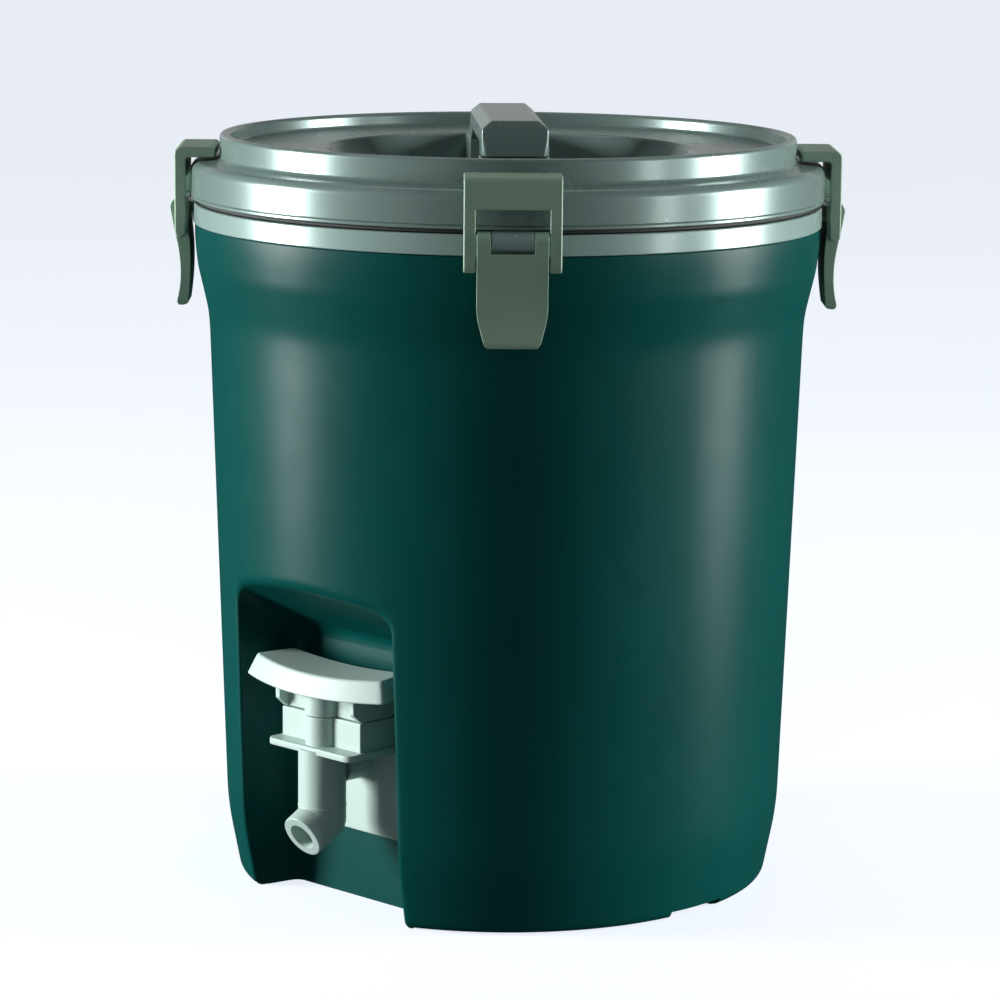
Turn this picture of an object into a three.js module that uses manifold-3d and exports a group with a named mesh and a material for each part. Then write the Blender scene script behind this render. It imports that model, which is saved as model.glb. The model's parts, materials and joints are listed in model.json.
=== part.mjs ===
// Insulated drinks jug with a clamped lid and a lift-lever spigot.
// Millimetres, +Z up. The jug's axis is Z, it stands on z = 0 and the spigot faces -Y.
import * as THREE from "three";
import { mergeVertices } from "three/addons/utils/BufferGeometryUtils.js";
import Module from "manifold-3d";

const wasm = await Module();
wasm.setup();

// ---------------------------------------------------------------- driving dimensions
const gap = 0.3; // clearance between pieces that touch when assembled
const facets = 48; // sides of every large round piece
const beyond = 400; // size of the cutting tools that run right past the jug

// body, from the collar down to the foot
const bodyHeight = 288.2; // top edge of the green shell
const collarRadius = 135.9; // collar under the rim band
const collarHeight = 18; // from the cone up to the top edge
const collarSwell = 11; // height over which the collar reaches its full radius
const collarCone = 20; // height of the cone from wall to collar
const collarStep = 6.3; // how far the collar stands out from the wall
const wallTaper = 7; // how much the main wall narrows on its way down
const lowHeight = 30; // where the lower taper starts
const footTaper = 10.2; // how much the lower taper narrows
const footCorner = 5.2;
const shellWall = 2.8;
const footWidth = 7; // flat ring that the jug stands on
const footHeight = 9; // depth of the hollow under the base
const footNotchWidth = 30;
const footNotchHeight = 3.5;
const coverThickness = 2.5;
const coverScrewInset = 15.4; // from the foot's outer edge
const coverScrewCount = 4;
const coverScrewShaft = 1.6;
const coverScrewHead = 3.2;

// spigot pocket
const pocketHalfWidth = 48.4; // at the jug's surface
const pocketBackHalfWidth = 41.5;
const pocketDepth = 37.1; // from the lower taper's surface back to its flat wall
const pocketTop = 142.4; // ceiling height at the jug's surface
const pocketDrop = 26; // how far the ceiling falls towards the back wall
const pocketCorner = 9;
const pocketDraft = 1.5; // how much its sides lean

// liner and rim
const linerInset = 37.9; // from the collar's outside to the liner's inside
const linerWall = 2.2;
const linerFloor = 45; // inside
const linerCorner = 6;
const linerFlangeWidth = 18.4;
const linerFlangeThickness = 2.5;
const foamThickness = 3.2; // least foam between pocket and liner
const bandProud = 0.8; // how far the rim band stands out from the collar
const bandHeight = 9;
const bandShelf = 11; // width of the ledge under the liner's flange
const bandLedge = 3; // its thickness
const bandSkirt = 5;

// lid
const lidProud = 1; // how far the lid stands out from the rim band
const lidGap = 2; // dark gap between rim band and lid
const lidBandHeight = 16.8;
const lidWall = 2.6;
const shoulderWidth = 12.6; // from the lid's edge in to its raised ring
const ringWidth = 4.6;
const ringHeight = 10.6;
const deckDrop = 5.9; // from the ring's top to the flat deck
const bowlRadius = 79;
const bowlSlope = 11; // how much the bowl narrows down to its floor
const bowlDepth = 21;
const plugClearance = 1.5;
const plugDepth = 17.3; // below the lid's underside
const plugWall = 2.2;
const gasketWidth = 10;
const gasketThickness = 1.4;
const lidTurn = 2.4; // degrees that the lid sits turned on the body

// handle across the bowl
const handleHalfLength = 50;
const handleHalfWidth = 14.6;
const handleTopHalfWidth = 10.1;
const handleHeight = 15.4; // above the deck
const handleChamfer = 3.4;
const handleCornerCut = 3.2;
const handleEndSlope = 3;
const handleLeg = 14;
const handleUnderside = 5.2; // bar's underside above the deck
const handleScrewRadius = 2;
const handleScrewHead = 4;
const handleScrewHeadHeight = 2.4;

// latches
const latchAngles = [45, 135, 225, 315];
const frameWidth = 39.6;
const frameWindow = 29.8;
const frameThickness = 4.8;
const hookThickness = 4.6;
const hookClearance = 0.9; // over the lid's shoulder
const hookTip = 1.3; // from the hook's tip to the lid's raised ring
const windowRise = 12.8; // from the fulcrum up to the top of the frame's window
const leverWidth = 28.8;
const leverLength = 43; // from the fulcrum down to its tip
const leverStraight = 27.7; // from the fulcrum down to where its straight sides end
const leverNotch = 17.9;
const earRadius = 4.1;
const pinRadius = 1.5;
const pinFit = 0.25;
const fulcrumOut = 5.1; // fulcrum's distance outside the rim band
const fulcrumDrop = 2.2; // below the rim band's top
const linkDrop = 10.2; // from fulcrum pin down to link pin
const linkSetBack = 0.5;

// spigot; each "Out" is measured from the pocket's back wall
const boxHalfWidth = 24.3;
const boxOut = 25.8;
const plateOut = 33.8;
const plateHalfWidth = 25.8;
const plateThickness = 3;
const plateTop = 73;
const plateCorner = 4.5;
const splitHeight = 85.6; // where the lever meets the body
const bossRadius = 7.5;
const bossOut = 32;
const tubeRadius = 10.25;
const tubeOut = 25;
const boreRadius = 6.2;
const spoutRadius = 9.9;
const spoutTilt = 28; // degrees below level
const spoutLength = 13.4;
const spoutHeight = 40.3; // where the spout's axis meets the tube's
const seatHeight = 50;
const seatRadius = 4;
const shankRadius = 8.5;
const shankBore = 5.5;
const shankHeight = 63;
const shankOverrun = 3.9; // past the lock nut
const sealLip = 5.5; // how far the seals reach past the shank
const wallPlateWidth = 48;
const wallPlateBottom = 30.3;
const wallPlateHeight = 44;
const wallPlateThickness = 2.5;
const washerThickness = 1.8;
const nutThickness = 7;
const nutRadius = 15;
const stemRadius = 2;
const stemHeadHalfWidth = 3.4;
const stemHeadHalfDepth = 1.6;
const stemHeadHeight = 2.2;
const stemFit = 0.3;
const valveSealThickness = 3;
const springWire = 0.5;
const springTurns = 5;
const paddleHalfWidth = 39;
const paddleFlare = 3.7;
const paddleTop = 105;
const paddleRise = 1.9; // ends above the middle
const paddleThickness = 9.2;
const paddleSetBack = 3.2; // its top edge behind the jug's surface
const paddleLean = 3.8; // how much further out its lower edge stands
const paddleBackOut = 8.5;
const cheekOut = 29.8;
const cheekThickness = 3;
const leverPinOut = 8;
const leverPinRise = 3.9; // above the split
const pinBlockHalf = 12;
const pinBlockClearance = 1;

// ---------------------------------------------------------------- solids from three.js geometry
function solid(geometry, matrix = new THREE.Matrix4()) {
  const bare = new THREE.BufferGeometry().setAttribute(
    "position",
    geometry.index ? geometry.toNonIndexed().getAttribute("position") : geometry.getAttribute("position"),
  );
  bare.applyMatrix4(matrix);
  const merged = mergeVertices(bare, 1e-4);
  return new wasm.Manifold(
    new wasm.Mesh({
      numProp: 3,
      vertProperties: merged.getAttribute("position").array,
      triVerts: new Uint32Array(merged.index.array),
    }),
  );
}

const at = (x, y, z) => new THREE.Matrix4().makeTranslation(x, y, z);
const turned = (degrees) => new THREE.Matrix4().makeRotationZ(THREE.MathUtils.degToRad(degrees));

// a profile of [radius, height] points, anticlockwise, revolved about Z
function revolve(points, sides = facets) {
  const outline = points.map(([r, z]) => new THREE.Vector2(r, z));
  const closes = points[0][0] > 0;
  if (closes) outline.push(outline[0]);
  return solid(new THREE.LatheGeometry(outline, sides), new THREE.Matrix4().makeRotationX(Math.PI / 2));
}

const box = (x0, x1, y0, y1, z0, z1) =>
  solid(new THREE.BoxGeometry(x1 - x0, y1 - y0, z1 - z0), at((x0 + x1) / 2, (y0 + y1) / 2, (z0 + z1) / 2));

// an upright cylinder from z0 to z1
const post = (radius, x, y, z0, z1, sides = 20) =>
  solid(
    new THREE.CylinderGeometry(radius, radius, z1 - z0, sides),
    at(x, y, (z0 + z1) / 2).multiply(new THREE.Matrix4().makeRotationX(Math.PI / 2)),
  );

// a cylinder along Y between two distances in front of the axis
const rod = (radius, near, far, z, sides = 20) =>
  solid(new THREE.CylinderGeometry(radius, radius, far - near, sides), at(0, -(near + far) / 2, z));

// a cylinder along X, centred on the plane x = 0
const pin = (radius, length, distance, z, sides = 8) =>
  solid(
    new THREE.CylinderGeometry(radius, radius, length, sides),
    at(0, -distance, z).multiply(new THREE.Matrix4().makeRotationZ(Math.PI / 2)),
  );

function shapeOf(points) {
  return new THREE.Shape(points.map(([x, y]) => new THREE.Vector2(x, y)));
}

const extruded = (shape, depth, curveSegments) =>
  new THREE.ExtrudeGeometry(shape, { depth, bevelEnabled: false, curveSegments });

// a side profile of (distance in front of the axis, height), as wide as given along X
function across(shape, width, curveSegments = 4) {
  const basis = new THREE.Matrix4().makeBasis(
    new THREE.Vector3(0, -1, 0),
    new THREE.Vector3(0, 0, 1),
    new THREE.Vector3(-1, 0, 0),
  );
  return solid(extruded(shape, width, curveSegments), at(width / 2, 0, 0).multiply(basis));
}

// a front outline of (x, height), running between two distances in front of the axis
function facing(shape, near, far, curveSegments = 6) {
  const basis = new THREE.Matrix4().makeBasis(
    new THREE.Vector3(1, 0, 0),
    new THREE.Vector3(0, 0, 1),
    new THREE.Vector3(0, -1, 0),
  );
  return solid(extruded(shape, far - near, curveSegments), at(0, -near, 0).multiply(basis));
}

// a plan outline of (x, y), from z0 to z1
const upright = (shape, z0, z1, curveSegments = 6) => solid(extruded(shape, z1 - z0, curveSegments), at(0, 0, z0));

// ---------------------------------------------------------------- named meshes
const jug = new THREE.Group();

const finish = (color, roughness, metalness = 0) => ({ color, roughness, metalness });
const green = finish(0x0b4f45, 0.42);
const pale = finish(0x9db3ab, 0.34);
const olive = finish(0x6f7f68, 0.48);
const mint = finish(0xb2c6bd, 0.5);
const black = finish(0x151a19, 0.8);
const steel = finish(0xb8bcbd, 0.3, 1);
const foam = finish(0xe4dcb4, 0.95);
const cream = finish(0xd9ddd8, 0.4);

function place(name, made, look, matrix = new THREE.Matrix4(), parent = jug) {
  const { vertProperties, triVerts, numProp } = made.getMesh();
  const geometry = new THREE.BufferGeometry();
  geometry.setAttribute("position", new THREE.BufferAttribute(new Float32Array(vertProperties), numProp));
  geometry.setIndex(new THREE.BufferAttribute(new Uint32Array(triVerts), 1));
  geometry.computeVertexNormals();
  const mesh = new THREE.Mesh(geometry, new THREE.MeshStandardMaterial(look));
  mesh.name = name;
  mesh.applyMatrix4(matrix);
  parent.add(mesh);
}

// ---------------------------------------------------------------- body
const coneTop = bodyHeight - collarHeight;
const coneBottom = coneTop - collarCone;
const wallTop = coneBottom - 8;
const wallRadius = collarRadius - collarStep;
const lowRadius = wallRadius - wallTaper;
const footRadius = lowRadius - footTaper;
const coverScrewRadius = footRadius - coverScrewInset;

// the jug's outside, brought inwards by the given wall
function outsideProfile(inset, z0, z1) {
  const r = (radius) => radius - inset;
  return [
    [0, z0],
    [r(footRadius), z0],
    [r(footRadius + footCorner * 0.55), z0 + 0.7],
    [r(footRadius + footCorner), z0 + 2.6],
    [r(lowRadius), lowHeight],
    [r(wallRadius), wallTop],
    [r(wallRadius + 0.6), coneBottom],
    [r(collarRadius - 1.1), coneTop],
    [r(collarRadius), coneTop + collarSwell],
    [r(collarRadius), z1],
    [0, z1],
  ];
}

// the pocket's hollow, grown by the given wall; its ceiling falls towards the back
const pocketBack = lowRadius - pocketDepth;
const pocketSurface = lowRadius + (wallTaper * (pocketTop - lowHeight)) / (wallTop - lowHeight);
const pocketMouth = Math.sqrt(pocketSurface ** 2 - pocketHalfWidth ** 2);
const pocketSpread = (pocketHalfWidth - pocketBackHalfWidth) / (pocketMouth - pocketBack);
const ceilingSlope = pocketDrop / (pocketSurface - pocketBack);
const ceilingFall = new THREE.Matrix4().set(
  ...[1, 0, 0, 0],
  ...[0, 1, 0, 0],
  ...[0, -ceilingSlope, 1, -ceilingSlope * pocketSurface],
  ...[0, 0, 0, 1],
);
function pocketHollow(grown = 0) {
  const half = pocketHalfWidth + grown;
  const top = pocketTop + grown * Math.hypot(1, ceilingSlope);
  const back = pocketBack - grown;
  const outline = new THREE.Shape();
  outline.moveTo(-half - pocketDraft, -beyond / 2);
  outline.lineTo(half + pocketDraft, -beyond / 2);
  outline.lineTo(half - pocketDraft, top - pocketCorner);
  outline.quadraticCurveTo(half - pocketDraft, top, half - pocketDraft - pocketCorner, top);
  outline.lineTo(-half + pocketDraft + pocketCorner, top);
  outline.quadraticCurveTo(-half + pocketDraft, top, -half + pocketDraft, top - pocketCorner);
  const front = facing(outline, back, back + beyond / 2, 5).transform(ceilingFall.elements);
  const narrow = pocketBackHalfWidth + grown;
  const wide = narrow + (pocketSpread * beyond) / 2;
  const plan = shapeOf([
    [-narrow, -back],
    [-wide, -back - beyond / 2],
    [wide, -back - beyond / 2],
    [narrow, -back],
  ]);
  return front.intersect(upright(plan, -beyond, beyond));
}

const outside = revolve(outsideProfile(0, 0, bodyHeight));
const inside = (extra) => revolve(outsideProfile(shellWall + extra, footHeight + shellWall + extra, bodyHeight + 1));
const pocket = pocketHollow();
const pocketWalls = pocketHollow(shellWall);
const shankHole = rod(shankRadius + gap, 0, lowRadius, shankHeight);

const baseHollow = revolve([
  [0, -1],
  [footRadius - footWidth, -1],
  [footRadius - footWidth - 1, footHeight],
  [0, footHeight],
]);
const baseOpening = revolve([
  [0, 0],
  [coverScrewRadius - 2 * coverScrewHead, 0],
  [coverScrewRadius - 2 * coverScrewHead, 2 * footHeight],
  [0, 2 * footHeight],
]);
const coverScrewAt = (i) => {
  const angle = (2 * Math.PI * (i + 0.5)) / coverScrewCount;
  return [coverScrewRadius * Math.cos(angle), coverScrewRadius * Math.sin(angle)];
};

let shell = outside
  .subtract(inside(0).subtract(pocketWalls))
  .subtract(baseHollow.subtract(pocketWalls))
  .subtract(baseOpening.subtract(pocketWalls))
  .subtract(pocket)
  .subtract(shankHole);
for (const angle of [0, 90, 180])
  shell = shell.subtract(
    solid(
      new THREE.BoxGeometry(2 * footWidth + 20, footNotchWidth, 2 * footNotchHeight),
      turned(angle).multiply(at(footRadius, 0, 0)),
    ),
  );
for (let i = 0; i < coverScrewCount; i++)
  shell = shell.subtract(post(coverScrewShaft + gap, ...coverScrewAt(i), footHeight - 1, footHeight + 6, 10));
place("outer_shell", shell, green);

const coverTop = footHeight - gap;
const coverRadius = footRadius - footWidth - 1.5 - gap;
let cover = revolve([
  [0, coverTop - coverThickness],
  [coverRadius, coverTop - coverThickness],
  [coverRadius, coverTop],
  [0, coverTop],
]).subtract(pocketHollow(shellWall + gap));
for (let i = 0; i < coverScrewCount; i++) {
  const [x, y] = coverScrewAt(i);
  cover = cover.subtract(post(coverScrewShaft + gap, x, y, 0, footHeight, 10));
  const underCover = coverTop - coverThickness - gap;
  place(
    `base_screw_${i + 1}`,
    post(coverScrewHead, x, y, underCover - 2, underCover, 12).add(post(coverScrewShaft, x, y, underCover - 1, footHeight + 2.4, 10)),
    steel,
  );
}
place("base_cover", cover, green);

// liner: a straight tub with a flange, set back behind the pocket
const linerRadius = collarRadius - linerInset;
const linerFlange = linerRadius + linerWall + linerFlangeWidth;
const bandRadius = collarRadius + bandProud;
const bandTop = bodyHeight + bandHeight;
const flangeTop = bandTop - gap;
const linerBack = shellWall + foamThickness;
const linerOutside = revolve([
  [0, linerFloor - linerWall],
  [linerRadius + linerWall - linerCorner, linerFloor - linerWall],
  [linerRadius + linerWall, linerFloor - linerWall + linerCorner],
  [linerRadius + linerWall, flangeTop - linerFlangeThickness],
  [linerFlange, flangeTop - linerFlangeThickness],
  [linerFlange, flangeTop],
  [0, flangeTop],
]);
const linerInside = revolve([
  [0, linerFloor],
  [linerRadius - linerCorner, linerFloor],
  [linerRadius, linerFloor + linerCorner],
  [linerRadius, flangeTop + 1],
  [0, flangeTop + 1],
]);
place(
  "inner_liner",
  linerOutside
    .subtract(pocketHollow(linerBack))
    .subtract(linerInside.subtract(pocketHollow(linerBack + linerWall)))
    .subtract(shankHole),
  cream,
);

// foam: fills the space between shell and liner up to the rim band
const foamTop = bodyHeight - bandSkirt - 2;
const linerSpaceRadius = linerRadius + linerWall + gap;
const linerSpace = revolve([
  [0, linerFloor - linerWall - gap],
  [linerSpaceRadius - linerCorner, linerFloor - linerWall - gap],
  [linerSpaceRadius, linerFloor - linerWall + linerCorner - gap],
  [linerSpaceRadius, bandTop],
  [0, bandTop],
]).subtract(pocketHollow(linerBack - gap));
place(
  "foam_insulation",
  inside(gap)
    .subtract(box(-beyond, beyond, -beyond, beyond, foamTop, beyond + bodyHeight))
    .subtract(pocketHollow(shellWall + gap))
    .subtract(linerSpace)
    .subtract(shankHole),
  foam,
);

// ---------------------------------------------------------------- rim band with the four latch lugs
const fulcrum = [bandRadius + fulcrumOut, bandTop - fulcrumDrop];
const link = [fulcrum[0] - linkSetBack, fulcrum[1] - linkDrop];
const lidRadius = bandRadius + lidProud;
const lugRadius = earRadius - 0.1;
const lugWidth = leverNotch - 2 * gap;

const shelfTop = flangeTop - linerFlangeThickness - gap;
const bandInner = collarRadius - shellWall - gap;
let band = revolve([
  [bandRadius, bodyHeight + gap],
  [bandRadius, bandTop],
  [linerFlange + gap, bandTop],
  [linerFlange + gap, shelfTop],
  [linerFlange - bandShelf, shelfTop],
  [linerFlange - bandShelf, shelfTop - bandLedge],
  [bandInner - 2, shelfTop - bandLedge],
  [bandInner - 2, bodyHeight - bandSkirt],
  [bandInner, bodyHeight - bandSkirt],
  [bandInner, bodyHeight + gap],
]);

function lugProfile() {
  const [r, z] = fulcrum;
  const shape = new THREE.Shape();
  shape.moveTo(bandRadius - 2, z - lugRadius + 1.2);
  shape.lineTo(r - 1.4, z - lugRadius + 0.25);
  shape.absarc(r, z, lugRadius, -Math.PI / 2, Math.PI / 2, false);
  shape.lineTo(lidRadius + 1, z + lugRadius);
  shape.lineTo(lidRadius + 1, bandTop);
  shape.lineTo(bandRadius - 2, bandTop);
  return shape;
}
const lug = across(lugProfile(), lugWidth).subtract(pin(pinRadius + pinFit, 2 * lugWidth, ...fulcrum));
for (const angle of latchAngles)
  band = band.add(lug.transform(turned(angle).elements)).subtract(
    pin(pinRadius + pinFit, 2 * lugWidth, ...fulcrum).transform(turned(angle).elements),
  );
place("rim_band", band, pale);

// ---------------------------------------------------------------- lid
const lidBottom = bandTop + lidGap;
const shoulder = lidBottom + lidBandHeight; // the step that the hooks hold
const ringRadius = lidRadius - shoulderWidth;
const ringTop = shoulder + ringHeight;
const deck = ringTop - deckDrop;
const bowlFloor = deck - bowlDepth;
const ringInner = ringRadius - ringWidth;
const bowlFloorRadius = bowlRadius - bowlSlope;
const lidGroup = new THREE.Group();
lidGroup.rotation.z = THREE.MathUtils.degToRad(latchAngles[0] + lidTurn); // its handle runs between two latches
jug.add(lidGroup);

const lidTopside = [
  [lidRadius, lidBottom],
  [lidRadius, shoulder - 3.4],
  [lidRadius - 2.2, shoulder - 0.9],
  [ringRadius, shoulder],
  [ringRadius, ringTop - 1.4],
  [ringRadius - 1.3, ringTop],
  [ringInner + 0.8, ringTop],
  [ringInner - 0.8, deck],
  [bowlRadius, deck],
  [bowlFloorRadius + 2.6, bowlFloor + 2.4],
  [bowlFloorRadius, bowlFloor],
  [0, bowlFloor],
];
const lidUnderside = [
  [0, bowlFloor - lidWall],
  [bowlFloorRadius + 0.6, bowlFloor - lidWall],
  [bowlFloorRadius + 4.6, bowlFloor + 0.6],
  [bowlRadius + 1.2, deck - lidWall],
  [ringInner - 2.4, deck - lidWall],
  [ringRadius - lidWall, shoulder - lidWall],
  [lidRadius - lidWall, shoulder - lidWall - 1.6],
  [lidRadius - lidWall, lidBottom],
];

const legInner = handleHalfLength + handleEndSlope - handleLeg;
const screwDistance = handleHalfLength + handleEndSlope - handleLeg / 2;
let lidShell = revolve([...lidTopside, ...lidUnderside]);
const bowl = revolve([
  [0, bowlFloor - 1],
  [bowlFloorRadius + 0.5, bowlFloor - 1],
  [bowlFloorRadius + 3.2, bowlFloor + 2.4],
  [bowlRadius + 0.6, deck],
  [0, deck],
]);
const bothEnds = [1, -1];
for (const end of bothEnds) {
  const near = end * legInner;
  const far = end * (bowlRadius + 1);
  const landHalf = handleHalfWidth + 0.4;
  const land = box(-landHalf, landHalf, Math.min(near, far), Math.max(near, far), bowlFloor - 1, deck).intersect(bowl);
  const screwHole = post(handleScrewRadius + gap, 0, end * screwDistance, bowlFloor - 10, deck + 2, 12);
  lidShell = lidShell.add(land).subtract(screwHole);
}
place("lid_shell", lidShell, pale, undefined, lidGroup);

const plugRadius = linerRadius - plugClearance;
const panelTop = lidBottom + 2.2;
const panelRadius = lidRadius - lidWall - gap;
place(
  "lid_inner_panel",
  revolve([
    [0, lidBottom - plugDepth],
    [plugRadius - 3, lidBottom - plugDepth],
    [plugRadius, lidBottom - plugDepth + 3],
    [plugRadius, lidBottom],
    [panelRadius, lidBottom],
    [panelRadius, panelTop],
    [plugRadius - plugWall, panelTop],
    [plugRadius - plugWall, lidBottom - plugDepth + 3.6],
    [plugRadius - 3.8, lidBottom - plugDepth + plugWall],
    [0, lidBottom - plugDepth + plugWall],
  ]),
  pale,
  undefined,
  lidGroup,
);

const fillInner = plugRadius - plugWall - gap;
let lidFill = revolve([
  [0, lidBottom - plugDepth + plugWall + gap],
  [fillInner - 1.8, lidBottom - plugDepth + plugWall + gap],
  [fillInner, lidBottom - plugDepth + 4.2],
  [fillInner, panelTop + gap],
  [ringInner - 4, panelTop + gap],
  [ringInner - 4, deck - lidWall - gap],
  [bowlRadius + 2.2, deck - lidWall - gap],
  [bowlFloorRadius + 6, bowlFloor + 0.6],
  [bowlFloorRadius + 1.4, bowlFloor - lidWall - gap],
  [0, bowlFloor - lidWall - gap],
]);
const screwHeadTop = bowlFloor - lidWall - gap;
for (const end of bothEnds)
  lidFill = lidFill.subtract(
    post(handleScrewHead + 0.6, 0, end * screwDistance, screwHeadTop - handleScrewHeadHeight - 1, screwHeadTop + 2, 16),
  );
place("lid_insulation", lidFill, foam, undefined, lidGroup);

const gasketTop = lidBottom - gap;
place(
  "lid_gasket",
  revolve([
    [lidRadius - lidWall - gasketWidth, gasketTop - gasketThickness],
    [lidRadius - lidWall, gasketTop - gasketThickness],
    [lidRadius - lidWall, gasketTop],
    [lidRadius - lidWall - gasketWidth, gasketTop],
  ]),
  black,
  undefined,
  lidGroup,
);

// ---------------------------------------------------------------- handle: a chamfered bar on two legs
const handleFoot = deck + gap;
const handleTop = deck + handleHeight;
const barUnder = deck + handleUnderside;
const handleSide = shapeOf([
  [-handleHalfLength - handleEndSlope, handleFoot],
  [-legInner, handleFoot],
  [-legInner + 3, barUnder],
  [legInner - 3, barUnder],
  [legInner, handleFoot],
  [handleHalfLength + handleEndSlope, handleFoot],
  [handleHalfLength, handleTop],
  [-handleHalfLength, handleTop],
]);
const handleSection = shapeOf([
  [-handleHalfWidth, handleFoot - 1],
  [handleHalfWidth, handleFoot - 1],
  [handleHalfWidth - 0.5, handleTop - handleChamfer],
  [handleTopHalfWidth, handleTop],
  [-handleTopHalfWidth, handleTop],
  [-handleHalfWidth + 0.5, handleTop - handleChamfer],
]);
const handlePlan = shapeOf(
  [1, -1].flatMap((s) => [
    [s * (handleHalfWidth + 1), -s * (handleHalfLength + handleEndSlope - handleCornerCut)],
    [s * (handleHalfWidth + 1), s * (handleHalfLength + handleEndSlope - handleCornerCut)],
    [s * (handleHalfWidth - handleCornerCut), s * (handleHalfLength + handleEndSlope + 1)],
    [-s * (handleHalfWidth - handleCornerCut), s * (handleHalfLength + handleEndSlope + 1)],
  ]),
);
const handleReach = handleHalfLength + handleEndSlope + 5;
const screwTip = handleTop - 4;
let grip = across(handleSide, 2 * handleHalfWidth + 4)
  .intersect(facing(handleSection, -handleReach, handleReach))
  .intersect(upright(handlePlan, deck - 5, handleTop + 5));
bothEnds.forEach((end, i) => {
  const y = end * screwDistance;
  grip = grip.subtract(post(handleScrewRadius + gap, 0, y, deck - 2, screwTip + gap, 12));
  place(
    `handle_screw_${i + 1}`,
    post(handleScrewRadius, 0, y, screwHeadTop - 1, screwTip, 12).add(
      post(handleScrewHead, 0, y, screwHeadTop - handleScrewHeadHeight, screwHeadTop, 12),
    ),
    steel,
    undefined,
    lidGroup,
  );
});
place("handle_grip", grip, pale, undefined, lidGroup);

// ---------------------------------------------------------------- over-centre latches
const frameOuter = link[0] + frameThickness / 2;
const frameInner = link[0] - frameThickness / 2;
const hookUnder = shoulder + hookClearance;
const frameTop = hookUnder + hookThickness;
const hookReach = ringRadius + hookTip;
const leverTip = fulcrum[1] - leverLength;
const leverShoulder = fulcrum[1] - leverStraight;

function frameProfile() {
  const shape = new THREE.Shape();
  shape.moveTo(frameInner, link[1]);
  shape.absarc(link[0], link[1], frameThickness / 2, Math.PI, 2 * Math.PI, false);
  shape.lineTo(frameOuter, frameTop - 3);
  shape.absarc(frameOuter - 3, frameTop - 3, 3, 0, Math.PI / 2, false);
  shape.lineTo(hookReach + 1, frameTop);
  shape.lineTo(hookReach, frameTop - 1);
  shape.lineTo(hookReach, hookUnder);
  shape.lineTo(frameInner - 1, hookUnder);
  shape.lineTo(frameInner, hookUnder - 1);
  return shape;
}
const latchFrame = across(frameProfile(), frameWidth)
  .subtract(box(-frameWindow / 2, frameWindow / 2, -beyond, 0, 0, fulcrum[1] + windowRise))
  .subtract(pin(pinRadius + pinFit, 2 * frameWidth, ...link));

// the lever's side profile: an ear round the fulcrum and a blade that swings out at its tip
function leverProfile() {
  const [r, z] = fulcrum;
  const shape = new THREE.Shape();
  shape.moveTo(r - earRadius, z);
  shape.lineTo(r - 3.7, z - 9);
  shape.quadraticCurveTo(r - 5.6, z - 24, r - 3.2, leverTip + 1.2);
  shape.quadraticCurveTo(r - 1.8, leverTip - 0.6, r + 0.9, leverTip);
  shape.quadraticCurveTo(r + 2.0, leverTip + 0.9, r + 1.5, leverTip + 3);
  shape.quadraticCurveTo(r - 2.2, z - 27, r + 2.4, z - 10);
  shape.lineTo(r + earRadius, z);
  shape.absarc(r, z, earRadius, 0, Math.PI, false);
  return shape;
}
function leverOutline() {
  const half = leverWidth / 2;
  const shape = new THREE.Shape();
  shape.moveTo(-half, fulcrum[1] + 10);
  shape.lineTo(-half, leverShoulder);
  shape.quadraticCurveTo(-half, leverTip + 7, -half + 2.2, leverTip + 3.4);
  shape.quadraticCurveTo(-half + 4, leverTip - 0.7, -half + 6.8, leverTip - 0.7);
  shape.lineTo(half - 6.8, leverTip - 0.7);
  shape.quadraticCurveTo(half - 4, leverTip - 0.7, half - 2.2, leverTip + 3.4);
  shape.quadraticCurveTo(half, leverTip + 7, half, leverShoulder);
  shape.lineTo(half, fulcrum[1] + 10);
  return shape;
}
const notchBottom = fulcrum[1] - lugRadius - 2 * gap;
const latchLever = across(leverProfile(), leverWidth)
  .intersect(facing(leverOutline(), 0, beyond, 4))
  .subtract(box(-leverNotch / 2, leverNotch / 2, -beyond, 0, notchBottom, fulcrum[1] + beyond))
  .subtract(pin(pinRadius + pinFit, 2 * leverWidth, ...fulcrum))
  .subtract(pin(pinRadius + pinFit, 2 * leverWidth, ...link));
const fulcrumPin = pin(pinRadius, leverWidth - 0.6, ...fulcrum);
const linkPin = pin(pinRadius, frameWidth - 0.2, ...link);

latchAngles.forEach((angle, i) => {
  const latch = new THREE.Group();
  latch.rotation.z = THREE.MathUtils.degToRad(angle);
  jug.add(latch);
  place(`latch_frame_${i + 1}`, latchFrame, olive, undefined, latch);
  place(`latch_lever_${i + 1}`, latchLever, olive, undefined, latch);
  place(`latch_fulcrum_pin_${i + 1}`, fulcrumPin, steel, undefined, latch);
  place(`latch_link_pin_${i + 1}`, linkPin, olive, undefined, latch);
});

// ---------------------------------------------------------------- spigot body
const wallFace = pocketBack + gap;
const plateFace = wallFace + wallPlateThickness;
const backFace = plateFace + gap;
const chamberTop = splitHeight - 6;
const boxFront = pocketBack + boxOut;
const tubeDistance = pocketBack + tubeOut;
const bossDistance = pocketBack + bossOut - bossRadius;
const linerFace = pocketBack - linerBack - linerWall;
const washerFace = linerFace - gap - washerThickness;
const nutFace = washerFace - gap - nutThickness;
const shankEnd = nutFace - shankOverrun;

function roundedPlate(half, near, far, corner) {
  const shape = new THREE.Shape();
  shape.moveTo(-half, -near);
  shape.lineTo(-half, -far + corner);
  shape.quadraticCurveTo(-half, -far, -half + corner, -far);
  shape.lineTo(half - corner, -far);
  shape.quadraticCurveTo(half, -far, half, -far + corner);
  shape.lineTo(half, -near);
  return shape;
}

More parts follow.
